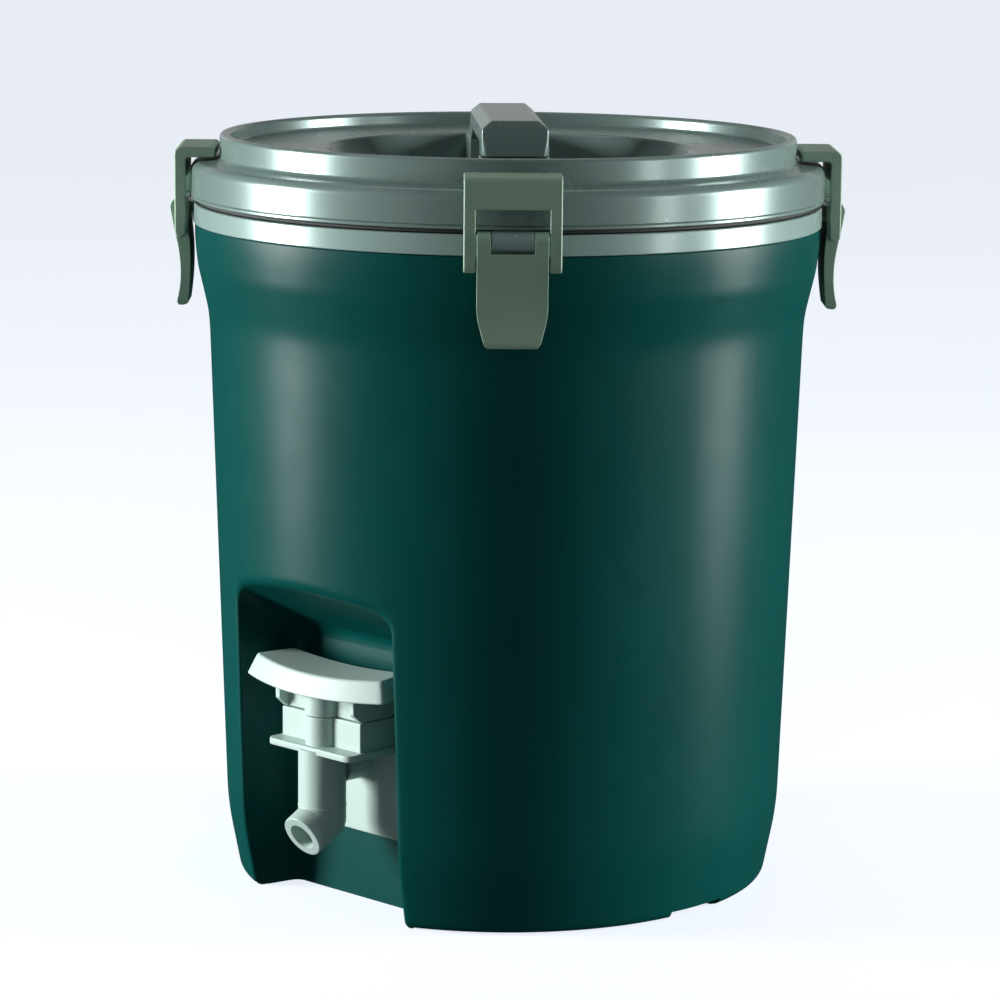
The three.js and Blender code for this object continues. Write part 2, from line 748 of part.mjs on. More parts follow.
const spoutAngle = THREE.MathUtils.degToRad(spoutTilt);
const alongSpout = (radius, start, length) =>
  solid(
    new THREE.CylinderGeometry(radius, radius, length, 24),
    at(0, -tubeDistance, spoutHeight)
      .multiply(new THREE.Matrix4().makeRotationX(spoutAngle))
      .multiply(at(0, -(start + length / 2), 0)),
  );

const spigotBody = upright(
  roundedPlate(plateHalfWidth, backFace, pocketBack + plateOut, plateCorner),
  plateTop - plateThickness,
  plateTop,
  4,
)
  .add(box(-boxHalfWidth, boxHalfWidth, -boxFront, -backFace, plateTop - 1, splitHeight))
  .add(post(bossRadius, 0, -bossDistance, plateTop - 1, splitHeight))
  .add(post(tubeRadius, 0, -tubeDistance, spoutHeight, plateTop - 1))
  .add(solid(new THREE.SphereGeometry(tubeRadius, 24, 12), at(0, -tubeDistance, spoutHeight)))
  .add(alongSpout(spoutRadius, 0, spoutLength))
  .add(rod(shankRadius, shankEnd, tubeDistance, shankHeight))
  .subtract(post(boreRadius, 0, -tubeDistance, seatHeight, chamberTop))
  .subtract(post(seatRadius, 0, -tubeDistance, spoutHeight, seatHeight + 1))
  .subtract(solid(new THREE.SphereGeometry(boreRadius, 24, 12), at(0, -tubeDistance, spoutHeight)))
  .subtract(alongSpout(boreRadius, 0, spoutLength + 5))
  .subtract(rod(shankBore, shankEnd - 1, tubeDistance, shankHeight))
  .subtract(post(stemRadius + stemFit, 0, -tubeDistance, chamberTop - 1, splitHeight + 1, 12));

// ---------------------------------------------------------------- spigot lever: paddle, cheeks and boss
const leverPinAt = [pocketBack + leverPinOut, splitHeight + leverPinRise];
const paddleTopReach = lowRadius - paddleSetBack;
const paddleBottomReach = paddleTopReach + paddleLean;
const paddleWide = paddleHalfWidth + paddleFlare;
const paddleEnd = paddleTop + paddleRise;

function paddleFrontOutline() {
  const low = paddleTop - paddleThickness;
  const shape = new THREE.Shape();
  shape.moveTo(-paddleWide, low + paddleRise);
  shape.quadraticCurveTo(0, low - paddleRise, paddleWide, low + paddleRise);
  shape.lineTo(paddleHalfWidth, paddleEnd);
  shape.quadraticCurveTo(0, paddleTop - paddleRise, -paddleHalfWidth, paddleEnd);
  return shape;
}
const paddleLow = paddleTop - paddleThickness - paddleRise;
const paddleFace = revolve([
  [0, paddleLow - 5],
  [paddleBottomReach + 1.6, paddleLow - 5],
  [paddleTopReach - 1.2, paddleEnd + 3],
  [0, paddleEnd + 3],
]);
const paddleBack = pocketBack + paddleBackOut;
// in plan its ends follow the pocket's side walls, through the two lower front corners
const paddleCornerOut = Math.sqrt(paddleBottomReach ** 2 - paddleWide ** 2);
const paddleHalfAt = (out) => paddleWide + pocketSpread * (out - paddleCornerOut);
const paddlePlan = shapeOf([
  [paddleHalfAt(paddleBack), -paddleBack],
  [-paddleHalfAt(paddleBack), -paddleBack],
  [-paddleHalfAt(paddleBottomReach), -paddleBottomReach],
  [paddleHalfAt(paddleBottomReach), -paddleBottomReach],
]);
const paddle = facing(paddleFrontOutline(), paddleBack, paddleBottomReach + 5, 10)
  .intersect(paddleFace)
  .intersect(upright(paddlePlan, 0, beyond));

const leverBottom = splitHeight + gap;
const skirtTop = paddleTop - paddleThickness + 2;
const cheekFront = pocketBack + cheekOut;
const cheekProfile = shapeOf([
  [leverPinAt[0] + 4, leverBottom],
  [boxFront - 0.6, leverBottom],
  [cheekFront, leverBottom + 4],
  [cheekFront, skirtTop],
  [leverPinAt[0] + 4, skirtTop],
]);
const cheekInner = boxHalfWidth - cheekThickness;
const cheeks = across(cheekProfile, 2 * boxHalfWidth).subtract(
  box(-cheekInner, cheekInner, -beyond, -boxFront, 0, beyond),
);

// the lever's lower rear edge is round about its pin, so that it turns clear of the split
const pivotRadius = leverPinRise - gap;
function pivotProfile() {
  const [r, z] = leverPinAt;
  const shape = new THREE.Shape();
  shape.moveTo(r, leverBottom);
  shape.lineTo(boxFront - 1, leverBottom);
  shape.lineTo(boxFront - 1, skirtTop);
  shape.lineTo(r - pivotRadius, skirtTop);
  shape.absarc(r, z, pivotRadius, Math.PI, 1.5 * Math.PI, false);
  return shape;
}

// the stem's crosshead hangs in a slot, above a ledge on each side
const slotHalf = stemHeadHalfWidth + 0.6;
const stemSlot = box(-slotHalf, slotHalf, -tubeDistance - 5, -tubeDistance + 6, leverBottom - 1, skirtTop - 0.4);
const ledgeBottom = leverBottom + 1.4;
const ledgeTop = ledgeBottom + 2;
const ledgeHalfDepth = 1.2;
const slotLedge = box(
  stemRadius + 2 * gap,
  slotHalf + 0.3,
  -tubeDistance - ledgeHalfDepth,
  -tubeDistance + ledgeHalfDepth,
  ledgeBottom,
  ledgeTop,
);
const pinBlockSpace = pivotRadius + pinBlockClearance;
const spigotLever = paddle
  .add(cheeks)
  .add(across(pivotProfile(), 2 * boxHalfWidth))
  .add(post(bossRadius + 0.4, 0, -bossDistance, leverBottom, skirtTop))
  .subtract(stemSlot)
  .add(slotLedge)
  .add(slotLedge.transform(turned(180).setPosition(0, -2 * tubeDistance, 0).elements))
  .subtract(
    box(
      -pinBlockHalf - gap,
      pinBlockHalf + gap,
      -leverPinAt[0] - pinBlockSpace,
      -wallFace,
      0,
      leverPinAt[1] + pinBlockSpace,
    ),
  )
  .subtract(pin(pinRadius + pinFit, beyond, ...leverPinAt));

function pinBlockProfile() {
  const [r, z] = leverPinAt;
  const shape = new THREE.Shape();
  shape.moveTo(r - pivotRadius, splitHeight - 1);
  shape.lineTo(r + pivotRadius, splitHeight - 1);
  shape.lineTo(r + pivotRadius, z);
  shape.absarc(r, z, pivotRadius, 0, Math.PI, false);
  return shape;
}
const pinBlock = across(pinBlockProfile(), 2 * pinBlockHalf);
place("spigot_body", spigotBody.add(pinBlock).subtract(pin(pinRadius + pinFit, beyond, ...leverPinAt)), mint);
place("spigot_lever", spigotLever, mint);
place("spigot_lever_pin", pin(pinRadius, 2 * boxHalfWidth - 1, ...leverPinAt), steel);

// ---------------------------------------------------------------- valve inside the spigot
const stemHeadBottom = ledgeTop + gap;
const sealBottom = seatHeight + gap;
const collarBottom = sealBottom + valveSealThickness + gap;
const stemCollar = 1.6;
const crosshead = box(
  -stemHeadHalfWidth,
  stemHeadHalfWidth,
  -tubeDistance - stemHeadHalfDepth,
  -tubeDistance + stemHeadHalfDepth,
  stemHeadBottom,
  stemHeadBottom + stemHeadHeight,
);
place(
  "spigot_stem",
  post(stemRadius, 0, -tubeDistance, sealBottom - 2, stemHeadBottom + 1, 12)
    .add(crosshead)
    .add(post(stemRadius + 2, 0, -tubeDistance, collarBottom, collarBottom + stemCollar, 16))
    .add(post(stemRadius + 1, 0, -tubeDistance, sealBottom - 2.4, sealBottom - gap, 16)),
  mint,
);
place(
  "spigot_valve_seal",
  post(boreRadius - 0.7, 0, -tubeDistance, sealBottom, sealBottom + valveSealThickness, 16).subtract(
    post(stemRadius + gap, 0, -tubeDistance, 0, splitHeight, 12),
  ),
  black,
);

class Helix extends THREE.Curve {
  constructor(radius, turns, z0, z1) {
    super();
    Object.assign(this, { radius, turns, z0, z1 });
  }
  getPoint(t, target = new THREE.Vector3()) {
    const angle = 2 * Math.PI * this.turns * t;
    return target.set(
      this.radius * Math.cos(angle),
      -tubeDistance + this.radius * Math.sin(angle),
      THREE.MathUtils.lerp(this.z0, this.z1, t),
    );
  }
}
const springBottom = collarBottom + stemCollar + gap + springWire;
const springTop = chamberTop - gap - springWire;
const wire = new THREE.Shape();
wire.absarc(0, 0, springWire, 0, 2 * Math.PI, false);
place(
  "spigot_spring",
  solid(
    new THREE.ExtrudeGeometry(wire, {
      steps: springTurns * 10,
      bevelEnabled: false,
      curveSegments: 3,
      extrudePath: new Helix(stemRadius + 1.6, springTurns, springBottom, springTop),
    }),
  ),
  steel,
);

// ---------------------------------------------------------------- spigot fastening through the wall
const sealRadius = shankRadius + sealLip;
const sealRecess = 1.3; // depth of the seal's seat in the wall plate
const plateRight = wallPlateWidth / 2;
const plateUpper = wallPlateBottom + wallPlateHeight;
const plateOutline = shapeOf([
  [-plateRight, wallPlateBottom],
  [plateRight, wallPlateBottom],
  [plateRight, plateUpper],
  [-plateRight, plateUpper],
]);
place(
  "spigot_wall_plate",
  facing(plateOutline, wallFace, plateFace)
    .subtract(shankHole)
    .subtract(rod(sealRadius + 0.4, wallFace - 1, wallFace + sealRecess, shankHeight)),
  mint,
);
place("spigot_outer_seal", rod(sealRadius, wallFace, wallFace + sealRecess - gap, shankHeight).subtract(shankHole), black);
place("spigot_inner_washer", rod(sealRadius, washerFace, linerFace - gap, shankHeight).subtract(shankHole), black);
place(
  "spigot_lock_nut",
  solid(
    new THREE.CylinderGeometry(nutRadius, nutRadius, nutThickness, 6),
    at(0, -(nutFace + nutThickness / 2), shankHeight),
  ).subtract(shankHole),
  mint,
);

export default jug;
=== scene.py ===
import json
import math

import bmesh
import bpy
import numpy as np
from mathutils import Matrix, Vector


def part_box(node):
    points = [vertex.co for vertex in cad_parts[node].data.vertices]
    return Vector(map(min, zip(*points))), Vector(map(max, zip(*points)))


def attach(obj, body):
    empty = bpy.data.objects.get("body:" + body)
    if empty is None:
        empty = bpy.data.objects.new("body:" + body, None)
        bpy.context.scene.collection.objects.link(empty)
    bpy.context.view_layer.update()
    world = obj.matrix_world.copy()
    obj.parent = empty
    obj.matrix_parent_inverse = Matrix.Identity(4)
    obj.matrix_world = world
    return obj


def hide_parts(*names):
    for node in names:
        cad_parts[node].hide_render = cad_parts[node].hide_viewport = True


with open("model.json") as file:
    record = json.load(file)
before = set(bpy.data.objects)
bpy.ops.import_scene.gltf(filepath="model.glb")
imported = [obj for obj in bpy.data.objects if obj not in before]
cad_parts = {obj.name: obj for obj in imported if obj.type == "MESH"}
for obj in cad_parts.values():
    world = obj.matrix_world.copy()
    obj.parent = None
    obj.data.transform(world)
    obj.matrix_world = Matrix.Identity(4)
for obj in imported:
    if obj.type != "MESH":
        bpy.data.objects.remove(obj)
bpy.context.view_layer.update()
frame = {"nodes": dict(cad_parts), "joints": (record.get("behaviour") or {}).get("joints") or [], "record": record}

# Metres, +Z up, spigot towards -Y. "Out" is a distance from the jug's axis, "across" runs along X.
mm = 0.001
same_point, same_cut_point = 2e-6, 5e-6
joints = {j["name"]: j for j in frame["joints"]}

shell_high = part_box("outer_shell")[1]
collar_radius, shell_top = shell_high.x, shell_high.z
wall_radius = collar_radius - 6.3 * mm
low_radius = wall_radius - 7 * mm
foot_radius = low_radius - 10.2 * mm
foot_inner = foot_radius - 7 * mm
foot_inner_rise = 7 * mm
foot_notch_height = 3.5 * mm
foot_notch_half = 15 * mm

pocket_back = low_radius - 37.1 * mm
pocket_top = 142.4 * mm
pocket_back_half = 41.5 * mm
pocket_mouth_half = 48.1 * mm
mouth_narrowing = 0.009
pocket_surface = 126.3 * mm
pocket_spread = 0.2214
ceiling_slope = 0.637
pocket_corner = 9 * mm
rim_round = 2.9 * mm
back_round = 4 * mm
pocket_wall = 2.8 * mm

band_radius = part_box("rim_band")[1].x
band_bottom = shell_top + 0.3 * mm
band_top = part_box("inner_liner")[1].z + 0.3 * mm
lid_low, lid_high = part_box("lid_shell")
lid_bottom = band_top + 2 * mm
lid_radius = lid_high.x - 0.03 * mm
lid_wall = 2.6 * mm
shoulder = lid_bottom + 16.8 * mm
ring_radius = band_radius + 1 * mm - 12.6 * mm
ring_top = lid_high.z
ring_inner = ring_radius - 4.6 * mm
deck = ring_top - 5.9 * mm
bowl_radius = 79 * mm
bowl_floor_radius = 68 * mm
bowl_floor = lid_low.z + 2.6 * mm
lid_turn = math.radians(47.4)

fulcrum = joints["latch_lever_1_turn"]["pos_m"]
fulcrum_out, fulcrum_z = math.hypot(*fulcrum[:2]), fulcrum[2]
link = joints["latch_frame_1_turn"]["pos_m"]
link_out, link_z = math.hypot(*link[:2]), link[2]
latch_angles = [math.radians(a) for a in (45, 135, 225, 315)]
lug_radius = 4 * mm
tap_pin = joints["tap_lever_turn"]["pos_m"]
tap_out, tap_height = -tap_pin[1], tap_pin[2]
base_screw_radius = 1.6 * mm
base_screw_head = 2 * mm
handle_screw_radius = 2 * mm
handle_screw_head = 2.4 * mm
fulcrum_pin_radius = 1.48 * mm
fulcrum_pin_half = 14.1 * mm


# ---------------------------------------------------------------- node trees
class Value:
    """A node's output; arithmetic on it adds Math nodes."""

    def __init__(self, net, socket):
        self.net = net
        self.socket = socket

    def math(self, operation, *others):
        return self.net.math(operation, self, *others)

    def __add__(self, other):
        return self.net.math("ADD", self, other)

    def __radd__(self, other):
        return self.net.math("ADD", other, self)

    def __mul__(self, other):
        return self.net.math("MULTIPLY", self, other)

    def __rmul__(self, other):
        return self.net.math("MULTIPLY", other, self)

    def __truediv__(self, other):
        return self.net.math("DIVIDE", self, other)

    def __rtruediv__(self, other):
        return self.net.math("DIVIDE", other, self)

    def between(self, low, high):
        """0 below low, 1 above high."""
        inputs = {"Value": self, "From Min": low, "From Max": high}
        return self.net.node("ShaderNodeMapRange", {"clamp": True}, inputs)


def socket_of(sockets, key):
    """A socket by its number, or the one in use with this name."""
    if isinstance(key, int):
        return sockets[key]
    return next(s for s in sockets if s.name == key and s.enabled)


class Net:
    """A node tree, with one way to add a node to it."""

    def __init__(self, tree):
        self.tree = tree

    def put(self, socket, value):
        if isinstance(value, Value):
            self.tree.links.new(value.socket, socket)
        else:
            socket.default_value = value

    def node(self, kind, settings=None, inputs=None, out=0):
        made = self.tree.nodes.new(kind)
        for key, value in (settings or {}).items():
            setattr(made, key, value)
        for key, value in (inputs or {}).items():
            self.put(socket_of(made.inputs, key), value)
        return Value(self, socket_of(made.outputs, out))

    def math(self, operation, *operands):
        return self.node("ShaderNodeMath", {"operation": operation}, dict(enumerate(operands)))


class Finish(Net):
    """One material: a Principled shader and the nodes that feed it."""

    def __init__(self, name, **uniform):
        self.material = bpy.data.materials.new(name)
        self.material.use_nodes = True
        super().__init__(self.material.node_tree)
        self.tree.nodes.clear()
        output = self.tree.nodes.new("ShaderNodeOutputMaterial")
        self.shader = self.tree.nodes.new("ShaderNodeBsdfPrincipled")
        self.tree.links.new(self.shader.outputs[0], output.inputs[0])
        self.feed(**uniform)
        self.place = self.node("ShaderNodeTexCoord", out="Object")

    def feed(self, **sockets):
        for key, value in sockets.items():
            name = key.replace("_", " ").title().replace("Ior", "IOR")
            self.put(self.shader.inputs[name], value)

    def noise(self, scale, detail=3, rough=0.5, stretch=(1, 1, 1)):
        where = self.node("ShaderNodeMapping", inputs={"Vector": self.place, "Scale": stretch})
        inputs = {"Vector": where, "Scale": scale, "Detail": detail, "Roughness": rough}
        return self.node("ShaderNodeTexNoise", inputs=inputs)

    def blend(self, mask, low, high):
        """Colour low where mask is 0 and high where it is 1."""
        low, high = ((*c, 1) if isinstance(c, tuple) else c for c in (low, high))
        inputs = {"Factor": mask, "A": low, "B": high}
        return self.node("ShaderNodeMix", {"data_type": "RGBA"}, inputs, out="Result")

    def relief(self, height, strength, distance):
        inputs = {"Height": height, "Strength": strength, "Distance": distance}
        return self.node("ShaderNodeBump", inputs=inputs)


# ---------------------------------------------------------------- finishes
def shade_of(colour, share):
    return tuple(c * share for c in colour)


def moulded(name, colour, rough, grain=0.25, tone=0.12, metal=0.0, coat=0.0, scuff=0.0, shine=0.5, haze=0.1):
    """Moulded plastic: fine grain, slow drift of tone and gloss, faint rub marks."""
    f = Finish(name, metallic=metal, specular_ior_level=shine, coat_weight=coat, coat_roughness=0.12)
    drift = f.noise(14, 3)
    cloud = f.noise(70, 4, 0.6)
    base = f.blend(drift.between(0.3, 0.7), shade_of(colour, 1 - tone), shade_of(colour, 1 + tone))
    rubs = f.noise(240, 5, 0.7, stretch=(1, 1, 0.08)).between(0.62, 0.72)
    rubbed = tuple(c + min(1.0, 0.35 * c + 0.03) for c in colour)
    f.feed(base_color=f.blend(rubs * scuff, base, rubbed))
    f.feed(roughness=cloud * haze + (rough - haze / 2) + rubs * (scuff * 0.25))
    fine = f.noise(2600, 2)
    waves = f.noise(420, 2)
    f.feed(normal=f.relief(fine + waves * 0.6, grain, 0.00012))
    return f.material


def rubber(name):
    f = Finish(name, roughness=0.7)
    speck = f.noise(900, 3)
    f.feed(base_color=f.blend(speck, (0.012, 0.016, 0.016), (0.03, 0.036, 0.035)))
    f.feed(normal=f.relief(speck, 0.4, 0.0002))
    return f.material


def turned_steel(name):
    f = Finish(name, metallic=1.0)
    brushed = f.noise(300, 4, 0.6, stretch=(1, 1, 12))
    f.feed(base_color=f.blend(brushed, (0.42, 0.43, 0.44), (0.66, 0.67, 0.68)))
    f.feed(roughness=brushed * 0.2 + 0.2, normal=f.relief(brushed, 0.15, 0.0001))
    return f.material


def foamed(name):
    f = Finish(name, roughness=0.95)
    cells = f.node("ShaderNodeTexVoronoi", inputs={"Vector": f.place, "Scale": 900})
    tone = f.noise(40, 3)
    f.feed(base_color=f.blend(tone, (0.72, 0.64, 0.38), (0.86, 0.8, 0.56)))
    f.feed(normal=f.relief(cells, 0.5, 0.0004))
    return f.material


sage = {"grain": 0.03, "haze": 0.03}
green = moulded("satin_green", (0.0005, 0.056, 0.05), 0.36, grain=0.08, tone=0.07, scuff=0.03, shine=0.11)
pale = moulded("silvered_sage", (0.20, 0.285, 0.265), 0.27, tone=0.06, metal=0.3, coat=0.2, **sage)
rim_sage = moulded("rim_sage", (0.26, 0.37, 0.345), 0.27, tone=0.05, metal=0.15, coat=0.3, **sage)
olive = moulded("olive_grey", (0.27, 0.41, 0.30), 0.42, grain=0.2, tone=0.08, scuff=0.05)
mint = moulded("pale_mint", (0.42, 0.55, 0.51), 0.46, grain=0.3, tone=0.05, scuff=0.02)
cream = moulded("liner_white", (0.68, 0.71, 0.68), 0.38, grain=0.15, tone=0.03)
black = rubber("black_rubber")
steel = turned_steel("turned_steel")
foam = foamed("cream_foam")

slot_finish = {
    "body_green": green,
    "lid_pale": pale,
    "latch_olive": olive,
    "spigot_mint": mint,
    "seal_black": black,
    "steel": steel,
    "foam_cream": foam,
    "liner_white": cream,
}


# ---------------------------------------------------------------- mesh helpers
def spaced(start, end, steps):
    return [start + (end - start) * k / steps for k in range(steps + 1)]


def bend(a, b, c, steps):
    """Points after a on the curve from a to c that b pulls on."""
    return [a * (1 - t) ** 2 + b * (2 * t * (1 - t)) + c * t**2 for t in spaced(0, 1, steps)[1:]]


def curve(a, b, c, steps=8):
    return [tuple(p) for p in bend(Vector(a), Vector(b), Vector(c), steps)]


def eased(points, steps=5):
    """A line through (a, b) or (a, b, ease) points; an eased corner is a curve that starts ease from it."""
    line = []
    for i, point in enumerate(points):
        here = Vector(point[:2])
        ease = point[2] if len(point) > 2 else 0
        if not ease:
            line.append(here)
            continue
        before, after = Vector(points[i - 1][:2]), Vector(points[(i + 1) % len(points)][:2])
        start = here + (before - here).normalized() * min(ease, (before - here).length / 2)
        end = here + (after - here).normalized() * min(ease, (after - here).length / 2)
        line += [start, *bend(start, here, end, steps)]
    return line


def arc(centre, radius, start, end, steps=10):
    angles = [math.radians(a) for a in spaced(start, end, steps)]
    return [(centre[0] + radius * math.cos(a), centre[1] + radius * math.sin(a)) for a in angles]


def spread_rows(line, longest):
    """The line with extra points on its long straight stretches."""
    rows = [line[0]]
    for here in line[1:]:
        start = rows[-1]
        count = max(1, math.ceil((here - start).length / longest))
        rows += [start.lerp(here, k / count) for k in range(1, count + 1)]
    return rows


def rows_of(bm, rows):
    """Vertices at each row's points."""
    return [[bm.verts.new(p) for p in row] for row in rows]


def weave(bm, rows, closed=False):
    """Quads between each row of vertices and the next."""
    for low, high in zip(rows, rows[1:]):
        for k in range(len(low) if closed else len(low) - 1):
            n = (k + 1) % len(low)
            bm.faces.new((low[k], low[n], high[n], high[k]))


def lathe(line, sides=192, place=Matrix.Identity(4)):
    """A profile of (radius, height), anticlockwise, turned about Z, then placed."""
    bm = bmesh.new()
    turns = [2 * math.pi * k / sides for k in range(sides)]
    rings = []
    for r, z in line:
        if r < same_point:
            rings.append([bm.verts.new(place @ Vector((0, 0, z)))] * sides)
        else:
            points = [Vector((r * math.cos(a), r * math.sin(a), z)) for a in turns]
            rings.append([bm.verts.new(place @ p) for p in points])
    for low, high in zip(rings, rings[1:]):
        for k in range(sides):
            n = (k + 1) % sides
            corners = list(dict.fromkeys((low[k], low[n], high[n], high[k])))
            if len(corners) > 2:
                bm.faces.new(corners)
    return bm


def prism(outline, low, high, place):
    """A closed prism; place(a, b, c) puts outline point (a, b) at depth c into space."""
    bm = bmesh.new()
    bottom = [bm.verts.new(place(a, b, low)) for a, b in outline]
    top = [bm.verts.new(place(a, b, high)) for a, b in outline]
    bm.faces.new(list(reversed(bottom)))
    bm.faces.new(top)
    weave(bm, [bottom, top], closed=True)
    bmesh.ops.recalc_face_normals(bm, faces=bm.faces)
    return bm


def across_x(a, b, c):
    """Outline of (out, height), depth along X."""
    return Vector((c, -a, b))


def along_y(a, b, c):
    """Outline of (across, height), depth outwards."""
    return Vector((a, -c, b))


def upward(a, b, c):
    """Outline of (x, y), depth upwards."""
    return Vector((a, b, c))


def block(x0, x1, out0, out1, z0, z1):
    return prism([(out0, z0), (out1, z0), (out1, z1), (out0, z1)], x0, x1, across_x)


def as_object(name, bm):
    mesh = bpy.data.meshes.new(name)
    bm.to_mesh(mesh)
    bm.free()
    made = bpy.data.objects.new(name, mesh)
    bpy.context.scene.collection.objects.link(made)
    return made


def plain(made):
    """Applies the object's modifiers to its mesh."""
    view = bpy.context.evaluated_depsgraph_get()
    mesh = bpy.data.meshes.new_from_object(made.evaluated_get(view))
    made.modifiers.clear()
    made.data = mesh
    mesh.name = made.name


def turned(bm, angle):
    """The shape turned about the jug's axis."""
    bmesh.ops.transform(bm, matrix=Matrix.Rotation(angle, 4, "Z"), verts=bm.verts)
    return bm


def cut(first, *steps, tidy=True):
    """first, changed by (operation, solid) steps; gives a bmesh."""
    made = as_object("work", first)
    tools = [as_object("tool", solid) for operation, solid in steps]
    for (operation, _), tool in zip(steps, tools):
        modifier = made.modifiers.new(operation, "BOOLEAN")
        modifier.operation = operation
        modifier.solver = "MANIFOLD"
        modifier.object = tool
    plain(made)
    bm = bmesh.new()
    bm.from_mesh(made.data)
    for used in (made, *tools):
        bpy.data.objects.remove(used)
    bmesh.ops.remove_doubles(bm, verts=bm.verts, dist=same_cut_point)
    if tidy:
        nearly_flat = math.radians(0.6)
        bmesh.ops.dissolve_limit(bm, angle_limit=nearly_flat, verts=bm.verts, edges=bm.edges)
    return bm


def bent_more(edges, angle):
    """The edges whose two faces meet at more than this many degrees."""
    return [e for e in edges if len(e.link_faces) == 2 and e.calc_face_angle(0) > math.radians(angle)]


def round_edges(bm, width, segments=3, angle=28):
    size = {"offset": width, "segments": segments, "profile": 0.5}
    bmesh.ops.bevel(bm, geom=bent_more(bm.edges, angle), affect="EDGES", clamp_overlap=True, **size)
    return bm


def joined(*meshes):
    whole = bmesh.new()
    for bm in meshes:
        mesh = bpy.data.meshes.new("part")
        bm.to_mesh(mesh)
        bm.free()
        whole.from_mesh(mesh)
        bpy.data.meshes.remove(mesh)
    return whole


def settle(name, bm, sharp=40):
    """The finished object: doubles merged, smooth shading with sharp edges kept, flat faces kept flat."""
    bmesh.ops.remove_doubles(bm, verts=bm.verts, dist=same_point)
    for face in bm.faces:
        face.smooth = True
    for edge in bm.edges:
        if len(edge.link_faces) == 2:
            edge.smooth = edge.calc_face_angle(0) < math.radians(sharp)
    made = as_object(name, bm)
    modifier = made.modifiers.new("flat", "WEIGHTED_NORMAL")
    modifier.keep_sharp = True
    plain(made)
    return made


def piece(made, body, slot, *nodes, finish=None):
    made.data.materials.clear()
    made.data.materials.append(finish or slot_finish[slot])
    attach(made, body)
    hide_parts(*nodes)


# ---------------------------------------------------------------- outer shell
row_height = 7 * mm
outside_line = spread_rows(
    eased(
        [
            (foot_radius, 0),
            (foot_radius + 4.6 * mm, 1.2 * mm, 3 * mm),
            (low_radius, 30 * mm, 10 * mm),
            (wall_radius, shell_top - 46 * mm, 6 * mm),
            (wall_radius + 0.6 * mm, shell_top - 38 * mm, 5 * mm),
            (collar_radius - 1.1 * mm, shell_top - 18 * mm, 3 * mm),
            (collar_radius, shell_top - 7 * mm, 5 * mm),
            (collar_radius, shell_top - 0.5 * mm),
            (collar_radius - 0.4 * mm, shell_top),
        ]
    ),
    row_height,
)
line_heights = [p.y for p in outside_line]
line_radii = [p.x for p in outside_line]
notch_angles = (90, 180, 270)
patch_angle = 0.62
patch_top_row = next(i for i, z in enumerate(line_heights) if z > 168 * mm)
patch_top = line_heights[patch_top_row]
patch_wide = 48


def skin_radius(z):
    return float(np.interp(z, line_heights, line_radii))


def notch_height(theta):
    """How far the foot is cut away at this angle from the spigot."""
    for middle in notch_angles:
        away = abs((math.degrees(theta) - middle + 180) % 360 - 180)
        if math.radians(away) * foot_radius < foot_notch_half:
            return foot_notch_height
    return 0


def skin_point(theta, z, radius=None):
    raised = max(z, notch_height(theta))
    r = skin_radius(z) if radius is None else radius
    return Vector((r * math.sin(theta), -r * math.cos(theta), raised))


def pocket_section(kind, t, out, grown=0.0):
    """(across, height) of the pocket's outline, this far out, at place t along its side or its top."""
    top = pocket_top - ceiling_slope * (pocket_surface - out) + grown * math.hypot(1, ceiling_slope)
    low_corner = top - pocket_corner

    def half(z):
        mouth = pocket_mouth_half - mouth_narrowing * z
        return min(pocket_back_half + pocket_spread * (out - pocket_back), mouth) + grown

    if kind == "side":
        z = abs(t) * low_corner
        return math.copysign(half(z), t), z
    wide = half(low_corner)
    flat = 0.73  # share of the top that is straight; the rest is its two round corners
    if abs(t) <= flat:
        return t / flat * (wide - pocket_corner), top
    b = (1 - abs(t)) / (1 - flat)
    x = wide * (1 - b * b) + (wide - pocket_corner) * b * b
    z = low_corner * (1 - b) ** 2 + top * (2 * b * (1 - b) + b * b)
    return math.copysign(x, t), z


def mouth_out(kind, t, grown=0.0):
    """How far out the pocket's outline meets the shell's skin."""
    near, far = pocket_back, collar_radius
    for _ in range(40):
        middle = (near + far) / 2
        x, z = pocket_section(kind, t, middle, grown)
        if math.hypot(x, middle) < skin_radius(z):
            near = middle
        else:
            far = middle
    return near


def pocket_point(kind, t, out, grown=0.0):
    x, z = pocket_section(kind, t, out, grown)
    return Vector((x, -out, z))


def shell_thetas():
    """Angles of the columns outside the pocket's patch, with close pairs at the foot notches."""
    pair_half, clear = 0.0004, 0.006
    middles = [math.radians(a) for a in notch_angles]
    edges = [middle + side * foot_notch_half / foot_radius for middle in middles for side in (-1, 1)]
    edges = [edge + step for edge in edges for step in (-pair_half, pair_half)]
    columns = spaced(patch_angle, 2 * math.pi - patch_angle, 220)
    kept = [t for t in columns if all(abs(t - e) > clear for e in edges)]
    return sorted(kept + edges)


def pocket_columns():
    """Each point round the patch: angle and height on the skin, then place on the pocket's outline."""
    corner_z = pocket_top - pocket_corner
    level = 40 * mm  # below this a point keeps its height from the skin to the pocket
    nearly_zero = 1e-6  # keeps the sign that tells the two sides apart
    side = []
    for z in line_heights[: patch_top_row + 1]:
        inside = z if z < level else level + (z - level) * (corner_z - level) / (patch_top - level)
        side.append((z, max(nearly_zero, min(1.0, inside / corner_z))))
    columns = [(-patch_angle, z, "side", -t) for z, t in side]
    columns += [(patch_angle * t, patch_top, "top", t) for t in spaced(-1, 1, patch_wide)[1:-1]]
    columns += [(patch_angle, z, "side", t) for z, t in reversed(side)]
    return columns


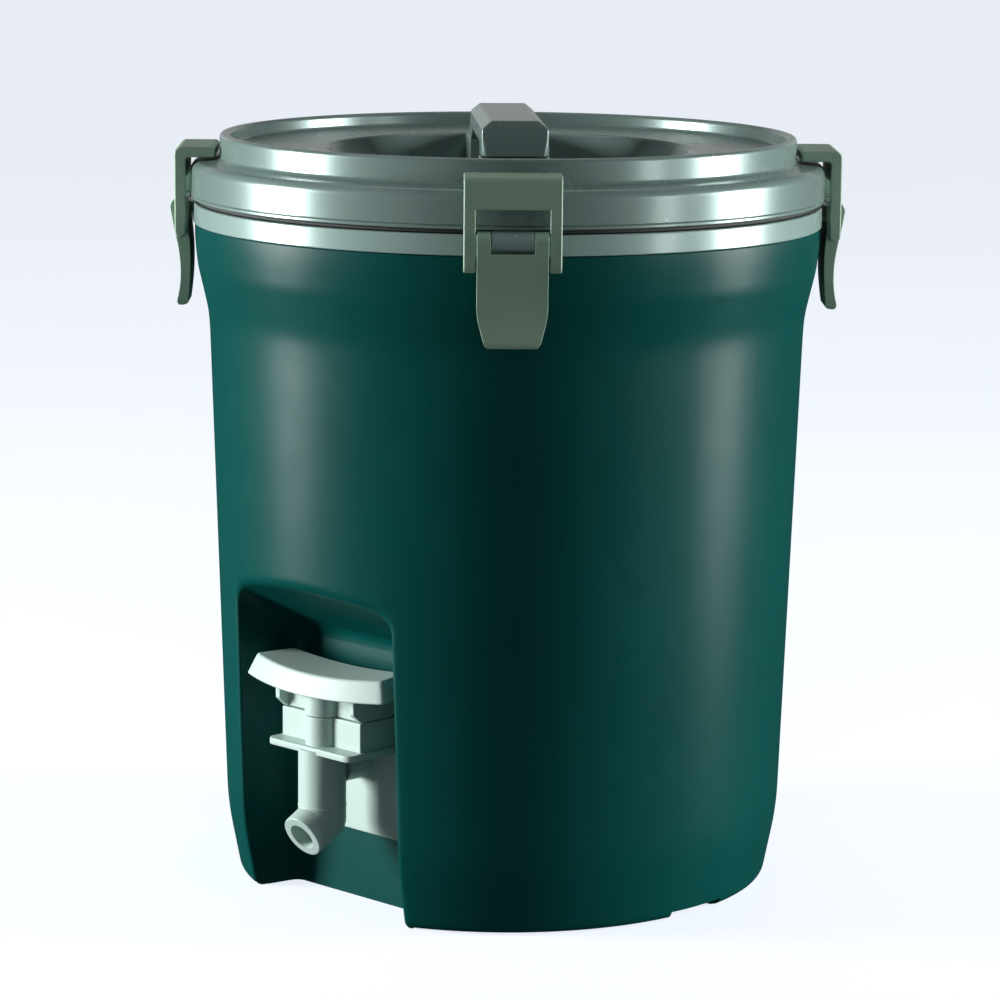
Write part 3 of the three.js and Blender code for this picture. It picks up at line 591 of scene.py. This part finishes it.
def pocket_strip(theta, z, kind, t):
    """One line of points from the patch's edge over the rim and along the pocket's wall to its back."""
    edge = pocket_point(kind, t, mouth_out(kind, t, rim_round), rim_round)
    edge_theta = math.atan2(edge.x, -edge.y)
    line = []
    for step in spaced(0, 1, 8):
        share = 1 - (1 - step) ** 1.4
        line.append(skin_point(theta + (edge_theta - theta) * share, z + (edge.z - z) * share))
    corner_out = mouth_out(kind, t)
    wall_out = corner_out - rim_round
    line += bend(line[-1], pocket_point(kind, t, corner_out), pocket_point(kind, t, wall_out), 6)
    line += [pocket_point(kind, t, out) for out in spaced(wall_out, pocket_back + back_round, 7)[1:]]
    corner = pocket_point(kind, t, pocket_back)
    line += bend(line[-1], corner, pocket_point(kind, t, pocket_back, -back_round), 5)
    return line


def skin_rows(thetas, line):
    return [[skin_point(t, p.y, p.x) for t in thetas] for p in line]


def foot_ring_into(bm, thetas, strips):
    """The flat ring that the jug stands on and its inner wall, with the pocket's sides as its ends."""
    edge_points = 19  # points of a strip that the ring's end runs along
    wall_theta = math.radians(24.5)

    def angle_of(p):
        return max(wall_theta, abs(math.atan2(p.x, -p.y)))

    after, before = ([v.co.copy() for v in strip[:edge_points]] for strip in (strips[-1], strips[0]))
    after.reverse()
    ring = [*after, *[skin_point(t, 0) for t in thetas], *before]
    angles = [*map(angle_of, after), *thetas, *[2 * math.pi - angle_of(p) for p in before]]
    inner = [skin_point(t, 0, foot_inner) for t in angles]
    upper = [skin_point(t, foot_inner_rise, foot_inner - 1 * mm) for t in angles]
    weave(bm, rows_of(bm, [upper, inner, ring]))


def pocket_lip_into(bm):
    """The lip under the pocket's walls: flat, then up inside the foot."""
    front_edge, start = 104 * mm, -1e-6
    path = []
    for out in (front_edge, (front_edge + pocket_back) / 2, pocket_back):
        behind = out - pocket_wall if out == pocket_back else out
        edges = pocket_point("side", start, out), pocket_point("side", start, behind, pocket_wall)
        path.append(edges)
    flip = Vector((-1, 1, 1))
    path += [(a * flip, b * flip) for a, b in reversed(path)]
    lift, rise = Vector((0, 0, 0.1 * mm)), Vector((0, 0, foot_inner_rise))
    weave(bm, rows_of(bm, zip(*[(a + lift, b + lift, b + rise) for a, b in path])))


def top_edge_into(bm, thetas):
    """The top edge, turned in under the rim band."""
    under = collar_radius - 3 * mm
    line = [outside_line[-1], Vector((under, shell_top)), Vector((under, shell_top - 8 * mm))]
    weave(bm, rows_of(bm, skin_rows(thetas, line)), closed=True)


def outer_shell_mesh():
    bm = bmesh.new()
    thetas = shell_thetas()
    patch_thetas = spaced(-patch_angle, patch_angle, patch_wide)
    weave(bm, rows_of(bm, skin_rows(thetas, outside_line)))
    weave(bm, rows_of(bm, skin_rows(patch_thetas, outside_line[patch_top_row:])))
    strips = rows_of(bm, [pocket_strip(*column) for column in pocket_columns()])
    weave(bm, strips)
    bm.faces.new([strip[-1] for strip in strips])
    foot_ring_into(bm, thetas, strips)
    pocket_lip_into(bm)
    whole_turn = {round(t % (2 * math.pi), 9) for t in thetas[:-1] + patch_thetas}
    top_edge_into(bm, sorted(whole_turn))
    bmesh.ops.dissolve_degenerate(bm, dist=1e-7, edges=bm.edges)
    return bm


piece(settle("shell_skin", outer_shell_mesh(), sharp=50), "jug", "body_green", "outer_shell")


# ---------------------------------------------------------------- latch shapes, made facing -Y
def turned_copies(bm, name, body, slot, node):
    """One copy of the shape at each latch."""
    for i, angle in enumerate(latch_angles, 1):
        one = turned(bm.copy(), angle)
        piece(settle(f"{name}_{i}", one, sharp=60), body.format(i), slot, f"{node}_{i}")
    bm.free()


# a cutting tool reaches from inside the jug's wall to well outside it, and starts below a latch
through = 100 * mm, 200 * mm
far_below = 200 * mm

frame_half = 19.8 * mm
window_half = 14.9 * mm
window_top = fulcrum_z + 12.8 * mm
frame_thick = 4.8 * mm
frame_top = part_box("latch_frame_1")[1].z
hook_under = shoulder + 0.9 * mm
hook_reach = ring_radius + 1.3 * mm


def latch_frame_mesh():
    outer, inner = link_out + frame_thick / 2, link_out - frame_thick / 2
    bend_radius = 3 * mm
    profile = arc((link_out, link_z), frame_thick / 2, 180, 360, 12)
    profile += [(outer, frame_top - bend_radius)]
    profile += arc((outer - bend_radius, frame_top - bend_radius), bend_radius, 10, 90, 7)
    profile += [(hook_reach + 1 * mm, frame_top), (hook_reach, frame_top - 1 * mm), (hook_reach, hook_under)]
    profile += [(inner - 1 * mm, hook_under), (inner, hook_under - 1 * mm)]
    solid = prism(profile, -frame_half, frame_half, across_x)
    window = block(-window_half, window_half, *through, far_below, window_top)
    return round_edges(cut(solid, ("DIFFERENCE", window)), 0.8 * mm)


lever_half = 14.4 * mm
ear_radius = 4.1 * mm
notch_half = 8.95 * mm
lever_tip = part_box("latch_lever_1")[0].z


def latch_lever_mesh():
    r, z, tip = fulcrum_out, fulcrum_z, lever_tip
    profile = [(r - ear_radius, z), (r - 3.7 * mm, z - 9 * mm)]
    profile += curve(profile[-1], (r - 5.6 * mm, z - 24 * mm), (r - 3.2 * mm, tip + 1.2 * mm), 12)
    profile += curve(profile[-1], (r - 1.8 * mm, tip - 0.4 * mm), (r + 0.9 * mm, tip + 0.1 * mm), 3)
    profile += curve(profile[-1], (r + 2 * mm, tip + 0.9 * mm), (r + 1.5 * mm, tip + 3 * mm), 3)
    profile += curve(profile[-1], (r - 2.2 * mm, z - 27 * mm), (r + 2.4 * mm, z - 10 * mm), 12)
    profile += arc((r, z), ear_radius, 0, 172, 14)
    solid = prism(profile, -lever_half, lever_half, across_x)
    h = lever_half - 0.01 * mm
    side = [(h, z + 10 * mm), (h, tip + 17 * mm)]
    side += curve(side[-1], (h, tip + 12 * mm), (h - 1.6 * mm, tip + 7 * mm), 5)
    side += [(h - 2.2 * mm, tip + 4.6 * mm)]
    side += curve(side[-1], (h - 3.2 * mm, tip - 0.2 * mm), (h - 6 * mm, tip - 0.2 * mm), 6)
    outline = side + [(-x, y) for x, y in reversed(side)]
    front = prism(outline, *through, along_y)
    notch_bottom = z - lug_radius - 0.6 * mm
    notch = block(-notch_half, notch_half, *through, notch_bottom, z + 20 * mm)
    return round_edges(cut(solid, ("INTERSECT", front), ("DIFFERENCE", notch)), 0.9 * mm)


turned_copies(latch_frame_mesh(), "latch_frame_skin", "frame_{}", "latch_olive", "latch_frame")
turned_copies(latch_lever_mesh(), "latch_lever_skin", "lever_{}", "latch_olive", "latch_lever")


# ---------------------------------------------------------------- rim band, liner and gasket
def band_mesh():
    inner = band_radius - 18.1 * mm
    line = eased(
        [
            (inner, band_bottom + 1 * mm),
            (band_radius, band_bottom, 0.6 * mm),
            (band_radius, band_top, 0.9 * mm),
            (inner, band_top),
            (inner, band_bottom + 1 * mm),
        ]
    )
    lug_root, lug_face, lug_top = band_radius - 2 * mm, lid_radius + 1.1 * mm, band_top - 0.05 * mm
    lug_half = notch_half - 0.3 * mm
    profile = [(lug_root, fulcrum_z - lug_radius + 1.2 * mm)]
    profile += arc((fulcrum_out, fulcrum_z), lug_radius, -100, 90, 16)
    profile += [(lug_face, fulcrum_z + lug_radius), (lug_face, lug_top), (lug_root, lug_top)]
    lugs = []
    for angle in latch_angles:
        lug = round_edges(prism(profile, -lug_half, lug_half, across_x), 0.4 * mm, 2)
        lugs.append(turned(lug, angle))
    return joined(lathe(line, 256), *lugs)


piece(settle("rim_band_skin", band_mesh(), sharp=50), "jug", "lid_pale", "rim_band", finish=rim_sage)


# ---------------------------------------------------------------- lid
def lid_mesh():
    groove = lid_bottom + 1.6 * mm
    top = [
        (lid_radius - lid_wall, lid_bottom),
        (lid_radius - 0.3 * mm, lid_bottom, 0.5 * mm),
        (lid_radius - 0.3 * mm, groove - 0.35 * mm, 0.15 * mm),
        (lid_radius - 0.8 * mm, groove),
        (lid_radius, groove + 0.35 * mm, 0.15 * mm),
        (lid_radius, shoulder - 3.4 * mm, 1.6 * mm),
        (lid_radius - 2.2 * mm, shoulder - 0.9 * mm, 1.4 * mm),
        (ring_radius + 1.2 * mm, shoulder, 0.8 * mm),
        (ring_radius, shoulder + 1.0 * mm, 0.8 * mm),
        (ring_radius, ring_top, 1.9 * mm),
        (ring_inner + 0.2 * mm, ring_top, 1.6 * mm),
        (ring_inner - 0.8 * mm, deck, 1.2 * mm),
        (bowl_radius, deck, 2.2 * mm),
        (bowl_floor_radius + 1.2 * mm, bowl_floor, 3.2 * mm),
        (0, bowl_floor),
    ]
    under = [
        (0, bowl_floor - lid_wall),
        (bowl_floor_radius + 0.6 * mm, bowl_floor - lid_wall),
        (bowl_radius + 1.2 * mm, deck - lid_wall),
        (ring_inner - 2.4 * mm, deck - lid_wall),
        (ring_radius - lid_wall, shoulder - lid_wall),
        (lid_radius - lid_wall, shoulder - 4.2 * mm),
        (lid_radius - lid_wall, lid_bottom),
    ]
    round_body = lathe(eased(top) + [Vector(p) for p in under], 288)
    return turned(joined(round_body, handle_land(0), handle_land(math.pi)), lid_turn)


def handle_land(end):
    """The shelf across one side of the bowl that an end of the handle stands on."""
    half, near, far = 15 * mm, 39 * mm, bowl_radius + 0.5 * mm
    start = math.degrees(math.acos(half / far))
    outline = [(half, near), *arc((0, 0), far, start, 180 - start, 8), (-half, near)]
    land = prism(outline, bowl_floor - 1 * mm, deck - 0.02 * mm, upward)
    return turned(round_edges(land, 0.8 * mm, 3, 50), end)


piece(settle("lid_skin", lid_mesh(), sharp=50), "lid", "lid_pale", "lid_shell")


def gasket_mesh():
    low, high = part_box("lid_gasket")
    outer, inner = high.x, high.x - 10 * mm
    ease = 0.5 * mm
    corners = [(inner, low.z, ease), (outer, low.z, ease), (outer, high.z, ease), (inner, high.z, ease)]
    line = eased(corners, 3)
    return lathe(line + line[:1])


piece(settle("gasket_skin", gasket_mesh()), "lid", "seal_black", "lid_gasket")


def panel_mesh():
    low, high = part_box("lid_inner_panel")
    outer, plug, wall = high.x, 96.5 * mm, 2.2 * mm
    line = eased(
        [
            (0, low.z),
            (plug, low.z, 3 * mm),
            (plug, lid_bottom, 0.8 * mm),
            (outer, lid_bottom),
            (outer, high.z),
            (plug - wall, high.z),
            (plug - wall, low.z + wall, 2 * mm),
            (0, low.z + wall),
        ]
    )
    return lathe(line)


piece(settle("lid_panel_skin", panel_mesh()), "lid", "lid_pale", "lid_inner_panel")


# ---------------------------------------------------------------- handle
handle_half = 50 * mm
handle_foot, handle_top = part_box("handle_grip")[0].z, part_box("handle_grip")[1].z
handle_side = 14.6 * mm


def handle_mesh():
    foot, under, leg_inner = handle_foot, deck + 5.2 * mm, 39 * mm
    far = handle_half + 3 * mm
    beyond = 5 * mm
    side = [(-far, foot), (-leg_inner, foot), (-leg_inner + 3 * mm, under), (leg_inner - 3 * mm, under)]
    side += [(leg_inner, foot), (far, foot), (handle_half, handle_top), (-handle_half, handle_top)]
    long_way = prism(side, -20 * mm, 20 * mm, across_x)
    half = [(handle_side, foot - 1 * mm), (handle_side - 0.5 * mm, handle_top - 3.4 * mm)]
    half += [(10.1 * mm, handle_top + 0.01 * mm)]
    section = half + [(-x, z) for x, z in reversed(half)]
    bar = prism(section, -70 * mm, 70 * mm, along_y)
    corner, wide, long = 3.2 * mm, handle_side + 0.4 * mm, far + 0.4 * mm
    end = [(wide, long - corner), (wide - corner, long), (corner - wide, long), (-wide, long - corner)]
    plan = end + [(-x, -y) for x, y in end]
    upright = prism(plan, foot - beyond, handle_top + beyond, upward)
    grip = cut(long_way, ("INTERSECT", bar), ("INTERSECT", upright))
    return turned(round_edges(grip, 0.8 * mm, 3, 15), lid_turn)


piece(settle("handle_skin", handle_mesh(), sharp=60), "lid", "lid_pale", "handle_grip")


# ---------------------------------------------------------------- spigot
box_half = 24.3 * mm
box_out = pocket_back + 25.8 * mm
plate_half = 25.8 * mm
plate_out = pocket_back + 33.8 * mm
plate_top = 73 * mm
split = tap_height - 3.9 * mm
pin_wall = 3.6 * mm
tube_out = pocket_back + 25 * mm
tube_radius = 10.25 * mm
boss_radius = 7.5 * mm
boss_out = pocket_back + 32 * mm - boss_radius
spout_radius = 9.9 * mm
spout_bore = 6.2 * mm
spout_height = 40.3 * mm
seat_height = 50 * mm
spout_length = 13.4 * mm
spout_tilt = math.radians(28)
shank_radius = 8.5 * mm
shank_height = 63 * mm
stem_bore = 4 * mm
back_face = pocket_back + 3.1 * mm


def rounded_bar(x0, x1, out0, out1, z0, z1, width):
    return round_edges(block(x0, x1, out0, out1, z0, z1), width, 2)


def post_mesh(radius, out, z0, z1, ease=0.5 * mm, sides=48):
    line = eased([(0, z0), (radius, z0, ease), (radius, z1, ease), (0, z1)], 3)
    return lathe(line, sides, Matrix.Translation((0, -out, 0)))


def plate_mesh():
    half, out, corner = plate_half, plate_out, 4.5 * mm
    side = [(half, back_face), (half, out - corner)]
    side += curve(side[-1], (half, out), (half - corner, out))
    outline = [(x, -y) for x, y in side] + [(-x, -y) for x, y in reversed(side)]
    return round_edges(prism(outline, plate_top - 3 * mm, plate_top, upward), 0.6 * mm, 3, 40)


def spout_mesh(radius, start, length, ease=0.0):
    """A cylinder from the elbow's centre out along the spout."""
    tilt = Matrix.Rotation(math.pi / 2 + spout_tilt, 4, "X")
    lean = Matrix.Translation((0, -tube_out, spout_height)) @ tilt
    return lathe(eased([(0, start), (radius, start), (radius, length, ease), (0, length)], 4), 64, lean)


def elbow_mesh(radius):
    bm = bmesh.new()
    bmesh.ops.create_uvsphere(bm, u_segments=64, v_segments=32, radius=radius)
    bmesh.ops.translate(bm, vec=(0, -tube_out, spout_height), verts=bm.verts)
    return bm


def tube_line_mesh():
    """A raised line round the down tube."""
    inner, outer, ease = tube_radius - 0.5 * mm, tube_radius + 0.2 * mm, 0.2 * mm
    middle, half = spout_height + 5.9 * mm, 0.3 * mm
    line = [(inner, middle - 2 * half), (outer, middle - half, ease), (outer, middle + half, ease)]
    line = eased([*line, (inner, middle + 2 * half)], 2)
    return lathe(line + line[:1], 64, Matrix.Translation((0, -tube_out, 0)))


def shank_mesh():
    """From inside the down tube back through the jug's wall."""
    start, end = tube_radius - 1 * mm, tube_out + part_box("spigot_body")[1].y
    lean = Matrix.Translation((0, -tube_out, shank_height)) @ Matrix.Rotation(-math.pi / 2, 4, "X")
    return lathe([(0, start), (shank_radius, start), (shank_radius, end), (0, end)], 48, lean)


def pin_block_mesh():
    """The block behind the boss that the lever's pin runs through."""
    near, far, top = tap_out - pin_wall, tap_out + pin_wall, tap_height + pin_wall
    bottom, ease = split - 1 * mm, 3 * mm
    outline = eased([(near, bottom), (far, bottom), (far, top, ease), (near, top, ease)])
    return prism(outline, -12 * mm, 12 * mm, across_x)


def tube_mesh():
    """The down tube, its elbow and the spout, with the water's way bored through them."""
    top = plate_top - 1.5 * mm
    beyond = 5 * mm
    return cut(
        post_mesh(tube_radius, tube_out, spout_height, top, 0, 64),
        ("UNION", elbow_mesh(tube_radius - 0.02 * mm)),
        ("UNION", spout_mesh(spout_radius, 0.1 * mm, spout_length, 0.8 * mm)),
        ("DIFFERENCE", post_mesh(spout_bore, tube_out, seat_height, top + beyond, 0)),
        ("DIFFERENCE", post_mesh(stem_bore, tube_out, spout_height, seat_height + 1 * mm, 0)),
        ("DIFFERENCE", elbow_mesh(spout_bore)),
        ("DIFFERENCE", spout_mesh(spout_bore, 0.05 * mm, spout_length + beyond)),
        tidy=False,
    )


def spigot_body_mesh():
    return joined(
        tube_mesh(),
        shank_mesh(),
        plate_mesh(),
        rounded_bar(-box_half, box_half, back_face, box_out, plate_top - 1 * mm, split, 0.6 * mm),
        post_mesh(boss_radius, boss_out, plate_top - 0.8 * mm, split - 0.02 * mm),
        pin_block_mesh(),
        tube_line_mesh(),
    )


piece(settle("spigot_body_skin", spigot_body_mesh(), sharp=50), "jug", "spigot_mint", "spigot_body")

paddle_half = 39 * mm
paddle_flare = 3.7 * mm
paddle_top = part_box("spigot_lever")[1].z - 1.9 * mm
paddle_low = paddle_top - 9.2 * mm
paddle_rise = 1.9 * mm
paddle_top_reach = low_radius - 3.2 * mm
paddle_low_reach = paddle_top_reach + 3.8 * mm
paddle_back = pocket_back + 8.5 * mm
paddle_narrowing = 0.11
paddle_ease = 1.1 * mm


def paddle_corner(s, share, back):
    """A corner of the section at place s of -1 to 1 along the width; share is 0 low and 1 high."""
    x = s * (paddle_half + paddle_flare * (1 - share))
    z = paddle_low + (paddle_top - paddle_low) * share + paddle_rise * s * s
    reach = paddle_low_reach + (paddle_top_reach - paddle_low_reach) * share
    front = math.sqrt(reach**2 - x**2)
    if back:
        x *= 1 - paddle_narrowing * (front - paddle_back) / (21 * mm)
    return Vector((x, -paddle_back if back else -front, z))


def paddle_section(s):
    corners = [paddle_corner(s, *place) for place in ((0, True), (0, False), (1, False), (1, True))]
    ring = []
    for i, here in enumerate(corners):
        before, after = corners[i - 1], corners[(i + 1) % 4]
        a = here + (before - here).normalized() * paddle_ease
        b = here + (after - here).normalized() * paddle_ease
        ring += [a, *bend(a, here, b, 4)]
    return ring


def paddle_end(ring, toward):
    """A slightly smaller section where this end section is, and the end section moved in from it."""
    middle = sum(ring, Vector()) / len(ring)
    shift = (toward[0] - ring[0]).normalized() * 0.9 * mm
    return [middle + (p - middle) * 0.9 for p in ring], [p + shift for p in ring]


def paddle_mesh():
    """Lofted along its width, with rounded ends."""
    sections = [paddle_section(s) for s in spaced(-1, 1, 48)]
    left, right = paddle_end(*sections[:2]), paddle_end(*sections[:-3:-1])
    bm = bmesh.new()
    rings = rows_of(bm, [*left, *sections[1:-1], *reversed(right)])
    weave(bm, rings, closed=True)
    bm.faces.new(rings[0])
    bm.faces.new(list(reversed(rings[-1])))
    bmesh.ops.recalc_face_normals(bm, faces=bm.faces)
    return bm


def side_pair(outline, half, thick, ease):
    """The same rounded plate at both sides, its outer faces at half the width given."""
    return [round_edges(prism(outline, x, x + thick, across_x), ease, 2) for x in (-half, half - thick)]


def spigot_lever_mesh():
    bottom, skirt = split + 0.3 * mm, paddle_low + 2 * mm
    cheek_near, cheek_out = tap_out + 4 * mm, pocket_back + 29.8 * mm
    cheek = [(cheek_near, bottom), (box_out - 0.6 * mm, bottom), (cheek_out, bottom + 4 * mm)]
    cheek += [(cheek_out, skirt), (cheek_near, skirt)]
    ear_out = tap_out + 9 * mm
    ear = [(ear_out, bottom), (ear_out, skirt), (tap_out - pin_wall, skirt)]
    ear += arc((tap_out, tap_height), pin_wall, 180, 270, 8)
    inner = box_half - 0.15 * mm
    front_ends = tap_out + 5 * mm, box_out - 1 * mm
    return joined(
        paddle_mesh(),
        rounded_bar(-inner, inner, *front_ends, bottom + 0.05 * mm, skirt, 0.5 * mm),
        post_mesh(boss_radius + 0.4 * mm, boss_out, bottom, skirt),
        *side_pair(cheek, box_half, 3 * mm, 0.5 * mm),
        *side_pair(ear, inner, 11.7 * mm, 0.4 * mm),
    )


piece(settle("spigot_lever_skin", spigot_lever_mesh(), sharp=50), "tap_lever", "spigot_mint", "spigot_lever")


def wall_plate_mesh():
    low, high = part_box("spigot_wall_plate")
    return round_edges(block(low.x, high.x, -high.y, -low.y, low.z, high.z), 0.7 * mm, 3)


piece(settle("wall_plate_skin", wall_plate_mesh()), "jug", "spigot_mint", "spigot_wall_plate")


# ---------------------------------------------------------------- screws and pins
def ring_tree():
    """Copies the incoming mesh, made facing -Y, to evenly spaced points round the axis."""
    tree = bpy.data.node_groups.new("ring_of_pieces", "GeometryNodeTree")
    kinds = {
        "Geometry": "Geometry",
        "Count": "Int",
        "Radius": "Float",
        "First Angle": "Float",
        "Material": "Material",
    }
    identifiers = {}
    for label, kind in kinds.items():
        socket = tree.interface.new_socket(label, in_out="INPUT", socket_type="NodeSocket" + kind)
        identifiers[label] = socket.identifier
    tree.interface.new_socket("Geometry", in_out="OUTPUT", socket_type="NodeSocketGeometry")
    net = Net(tree)
    given = tree.nodes.new("NodeGroupInput").outputs
    mesh, count, radius, first_angle, material = (Value(net, given[label]) for label in kinds)
    angle = first_angle + net.node("GeometryNodeInputIndex") * (2 * math.pi) / count
    place = {"X": angle.math("COSINE") * radius, "Y": angle.math("SINE") * radius}
    place = net.node("ShaderNodeCombineXYZ", inputs=place)
    points = net.node("GeometryNodePoints", inputs={"Count": count, "Position": place})
    turn = net.node("ShaderNodeCombineXYZ", inputs={"Z": angle + math.pi / 2})
    on_points = {"Points": points, "Instance": mesh, "Rotation": turn}
    copies = net.node("GeometryNodeInstanceOnPoints", inputs=on_points)
    solid = net.node("GeometryNodeRealizeInstances", inputs={"Geometry": copies})
    finished = net.node("GeometryNodeSetMaterial", inputs={"Geometry": solid, "Material": material})
    net.put(tree.nodes.new("NodeGroupOutput").inputs["Geometry"], finished)
    return tree, identifiers


ring_group, ring_inputs = ring_tree()


def ring_of(name, bm, nodes, radius, first_angle, body):
    """One steel piece for each node, made by the tree and kept as a plain mesh."""
    made = settle(name, bm, sharp=50)
    modifier = made.modifiers.new("ring", "NODES")
    modifier.node_group = ring_group
    values = {"Count": len(nodes), "Radius": radius, "First Angle": first_angle, "Material": steel}
    for label, value in values.items():
        modifier[ring_inputs[label]] = value
    plain(made)
    piece(made, body, "steel", *nodes)


def screw_mesh(node, radius, head_height):
    """Head down, with a cross recess."""
    low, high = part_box(node)
    head, neck = (high.x - low.x) / 2 - 0.02 * mm, low.z + head_height
    line = [(0, low.z), (head, low.z, 0.8 * mm), (head, neck, 0.2 * mm), (radius, neck)]
    line += [(radius, high.z - 1 * mm), (radius / 2, high.z), (0, high.z)]
    start, end = low.z - 1 * mm, low.z + 1.1 * mm
    half, arm = 0.45 * mm, head * 0.6
    slots = [block(-x, x, -y, y, start, end) for x, y in ((half, arm), (arm, half))]
    return cut(lathe(eased(line), 32), *[("DIFFERENCE", slot) for slot in slots], tidy=False)


def screws(name, nodes, radius, head_height, body):
    low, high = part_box(nodes[0])
    middle = (low + high) / 2
    out, first_angle = math.hypot(middle.x, middle.y), math.atan2(middle.y, middle.x)
    ring_of(name, screw_mesh(nodes[0], radius, head_height), nodes, out, first_angle, body)


def pin_mesh(height, radius, half_length):
    """A pin along X with eased ends."""
    lean = Matrix.Translation((0, 0, height)) @ Matrix.Rotation(math.pi / 2, 4, "Y")
    ease = 0.4 * mm
    line = [(0, -half_length), (radius, -half_length, ease), (radius, half_length, ease), (0, half_length)]
    return lathe(eased(line, 3), 32, lean)


def numbered(node, count):
    return [f"{node}_{i}" for i in range(1, count + 1)]


screws("base_screw_skins", numbered("base_screw", 4), base_screw_radius, base_screw_head, "jug")
screws("handle_screw_skins", numbered("handle_screw", 2), handle_screw_radius, handle_screw_head, "lid")
fulcrum_pin = pin_mesh(fulcrum_z, fulcrum_pin_radius, fulcrum_pin_half)
fulcrum_nodes = numbered("latch_fulcrum_pin", len(latch_angles))
ring_of("fulcrum_pin_skins", fulcrum_pin, fulcrum_nodes, fulcrum_out, latch_angles[0] - math.pi / 2, "jug")


# ---------------------------------------------------------------- CAD pieces that stay
slot_of = {s["node"]: s["material_slot"] for s in frame["record"]["subparts"]}
for name, node in frame["nodes"].items():
    node.data.materials.clear()
    node.data.materials.append(slot_finish[slot_of[name]])

# ---------------------------------------------------------------- stage, light and camera
azimuth, elevation = math.radians(44.1), math.radians(10.491)
aim = Vector((0, 0, 0.1553))
distance = 1.7034
focal_length = 138.59
frame_shift = -0.0048, 0.0212
camera_roll = math.radians(0.523)
toward_camera = Vector((math.sin(azimuth), -math.cos(azimuth), 0))
to_right = Vector((math.cos(azimuth), math.sin(azimuth), 0))
sky = (0.88, 0.92, 0.99)


def floor_finish():
    f = Finish("pale_floor", roughness=0.9, emission_strength=0.89)
    tone = f.noise(1.2, 2)
    f.feed(base_color=f.blend(tone, (0.22, 0.24, 0.26), (0.24, 0.26, 0.28)))
    f.feed(emission_color=f.blend(tone, (0.86, 0.90, 0.97), sky))
    return f.material


def make_floor():
    bm = bmesh.new()
    bmesh.ops.create_circle(bm, cap_ends=True, segments=96, radius=40)
    floor = as_object("floor", bm)
    floor.data.materials.append(floor_finish())
    floor.visible_diffuse = False
    floor.visible_glossy = False


def softbox(name, where, height, size, power):
    lamp = bpy.data.lights.new(name, "AREA")
    lamp.shape = "RECTANGLE"
    lamp.size, lamp.size_y = size
    lamp.energy = power
    made = bpy.data.objects.new(name, lamp)
    made.location = where + Vector((0, 0, height))
    made.rotation_euler = (aim - made.location).to_track_quat("-Z", "Y").to_euler()
    bpy.context.scene.collection.objects.link(made)
    return made


def make_world():
    """A dim sky for diffuse light, dimmer still in reflections and bright as the backdrop."""
    world = bpy.data.worlds.new("studio")
    bpy.context.scene.world = world
    world.use_nodes = True
    net = Net(world.node_tree)
    back = net.tree.nodes["Background"]
    back.inputs["Color"].default_value = (*sky, 1)
    mirrored = net.node("ShaderNodeLightPath", out="Is Glossy Ray")
    seen = net.node("ShaderNodeLightPath", out="Is Camera Ray")
    net.put(back.inputs["Strength"], 0.15 + mirrored * -0.12 + seen * 0.85)


def make_camera():
    data = bpy.data.cameras.new("camera")
    data.lens = focal_length
    data.sensor_width = 36
    data.shift_x, data.shift_y = frame_shift
    camera = bpy.data.objects.new("camera", data)
    bpy.context.scene.collection.objects.link(camera)
    back = toward_camera * math.cos(elevation) + Vector((0, 0, math.sin(elevation)))
    camera.location = aim + back * distance
    level = (-back).to_track_quat("-Z", "Y").to_matrix().to_4x4()
    camera.rotation_euler = (level @ Matrix.Rotation(camera_roll, 4, "Z")).to_euler()
    bpy.context.scene.camera = camera


make_floor()
make_world()
softbox("left_softbox", to_right * -1.6 + toward_camera * 0.12, 0.3, (0.5, 1.0), 60)
softbox("right_softbox", to_right * 1.6 + toward_camera * 0.05, 0.3, (0.5, 1.0), 44)
softbox("front_right_softbox", to_right * 1.65 + toward_camera * 1.1, 0.35, (0.3, 1.0), 5)
softbox("back_softbox", toward_camera * -2.4, 0.75, (3.2, 1.0), 4.2).visible_diffuse = False
softbox("top_softbox", toward_camera * -0.9, 1.9, (1.6, 0.8), 2.5)
make_camera()
bpy.context.scene.view_settings.view_transform = "Standard"
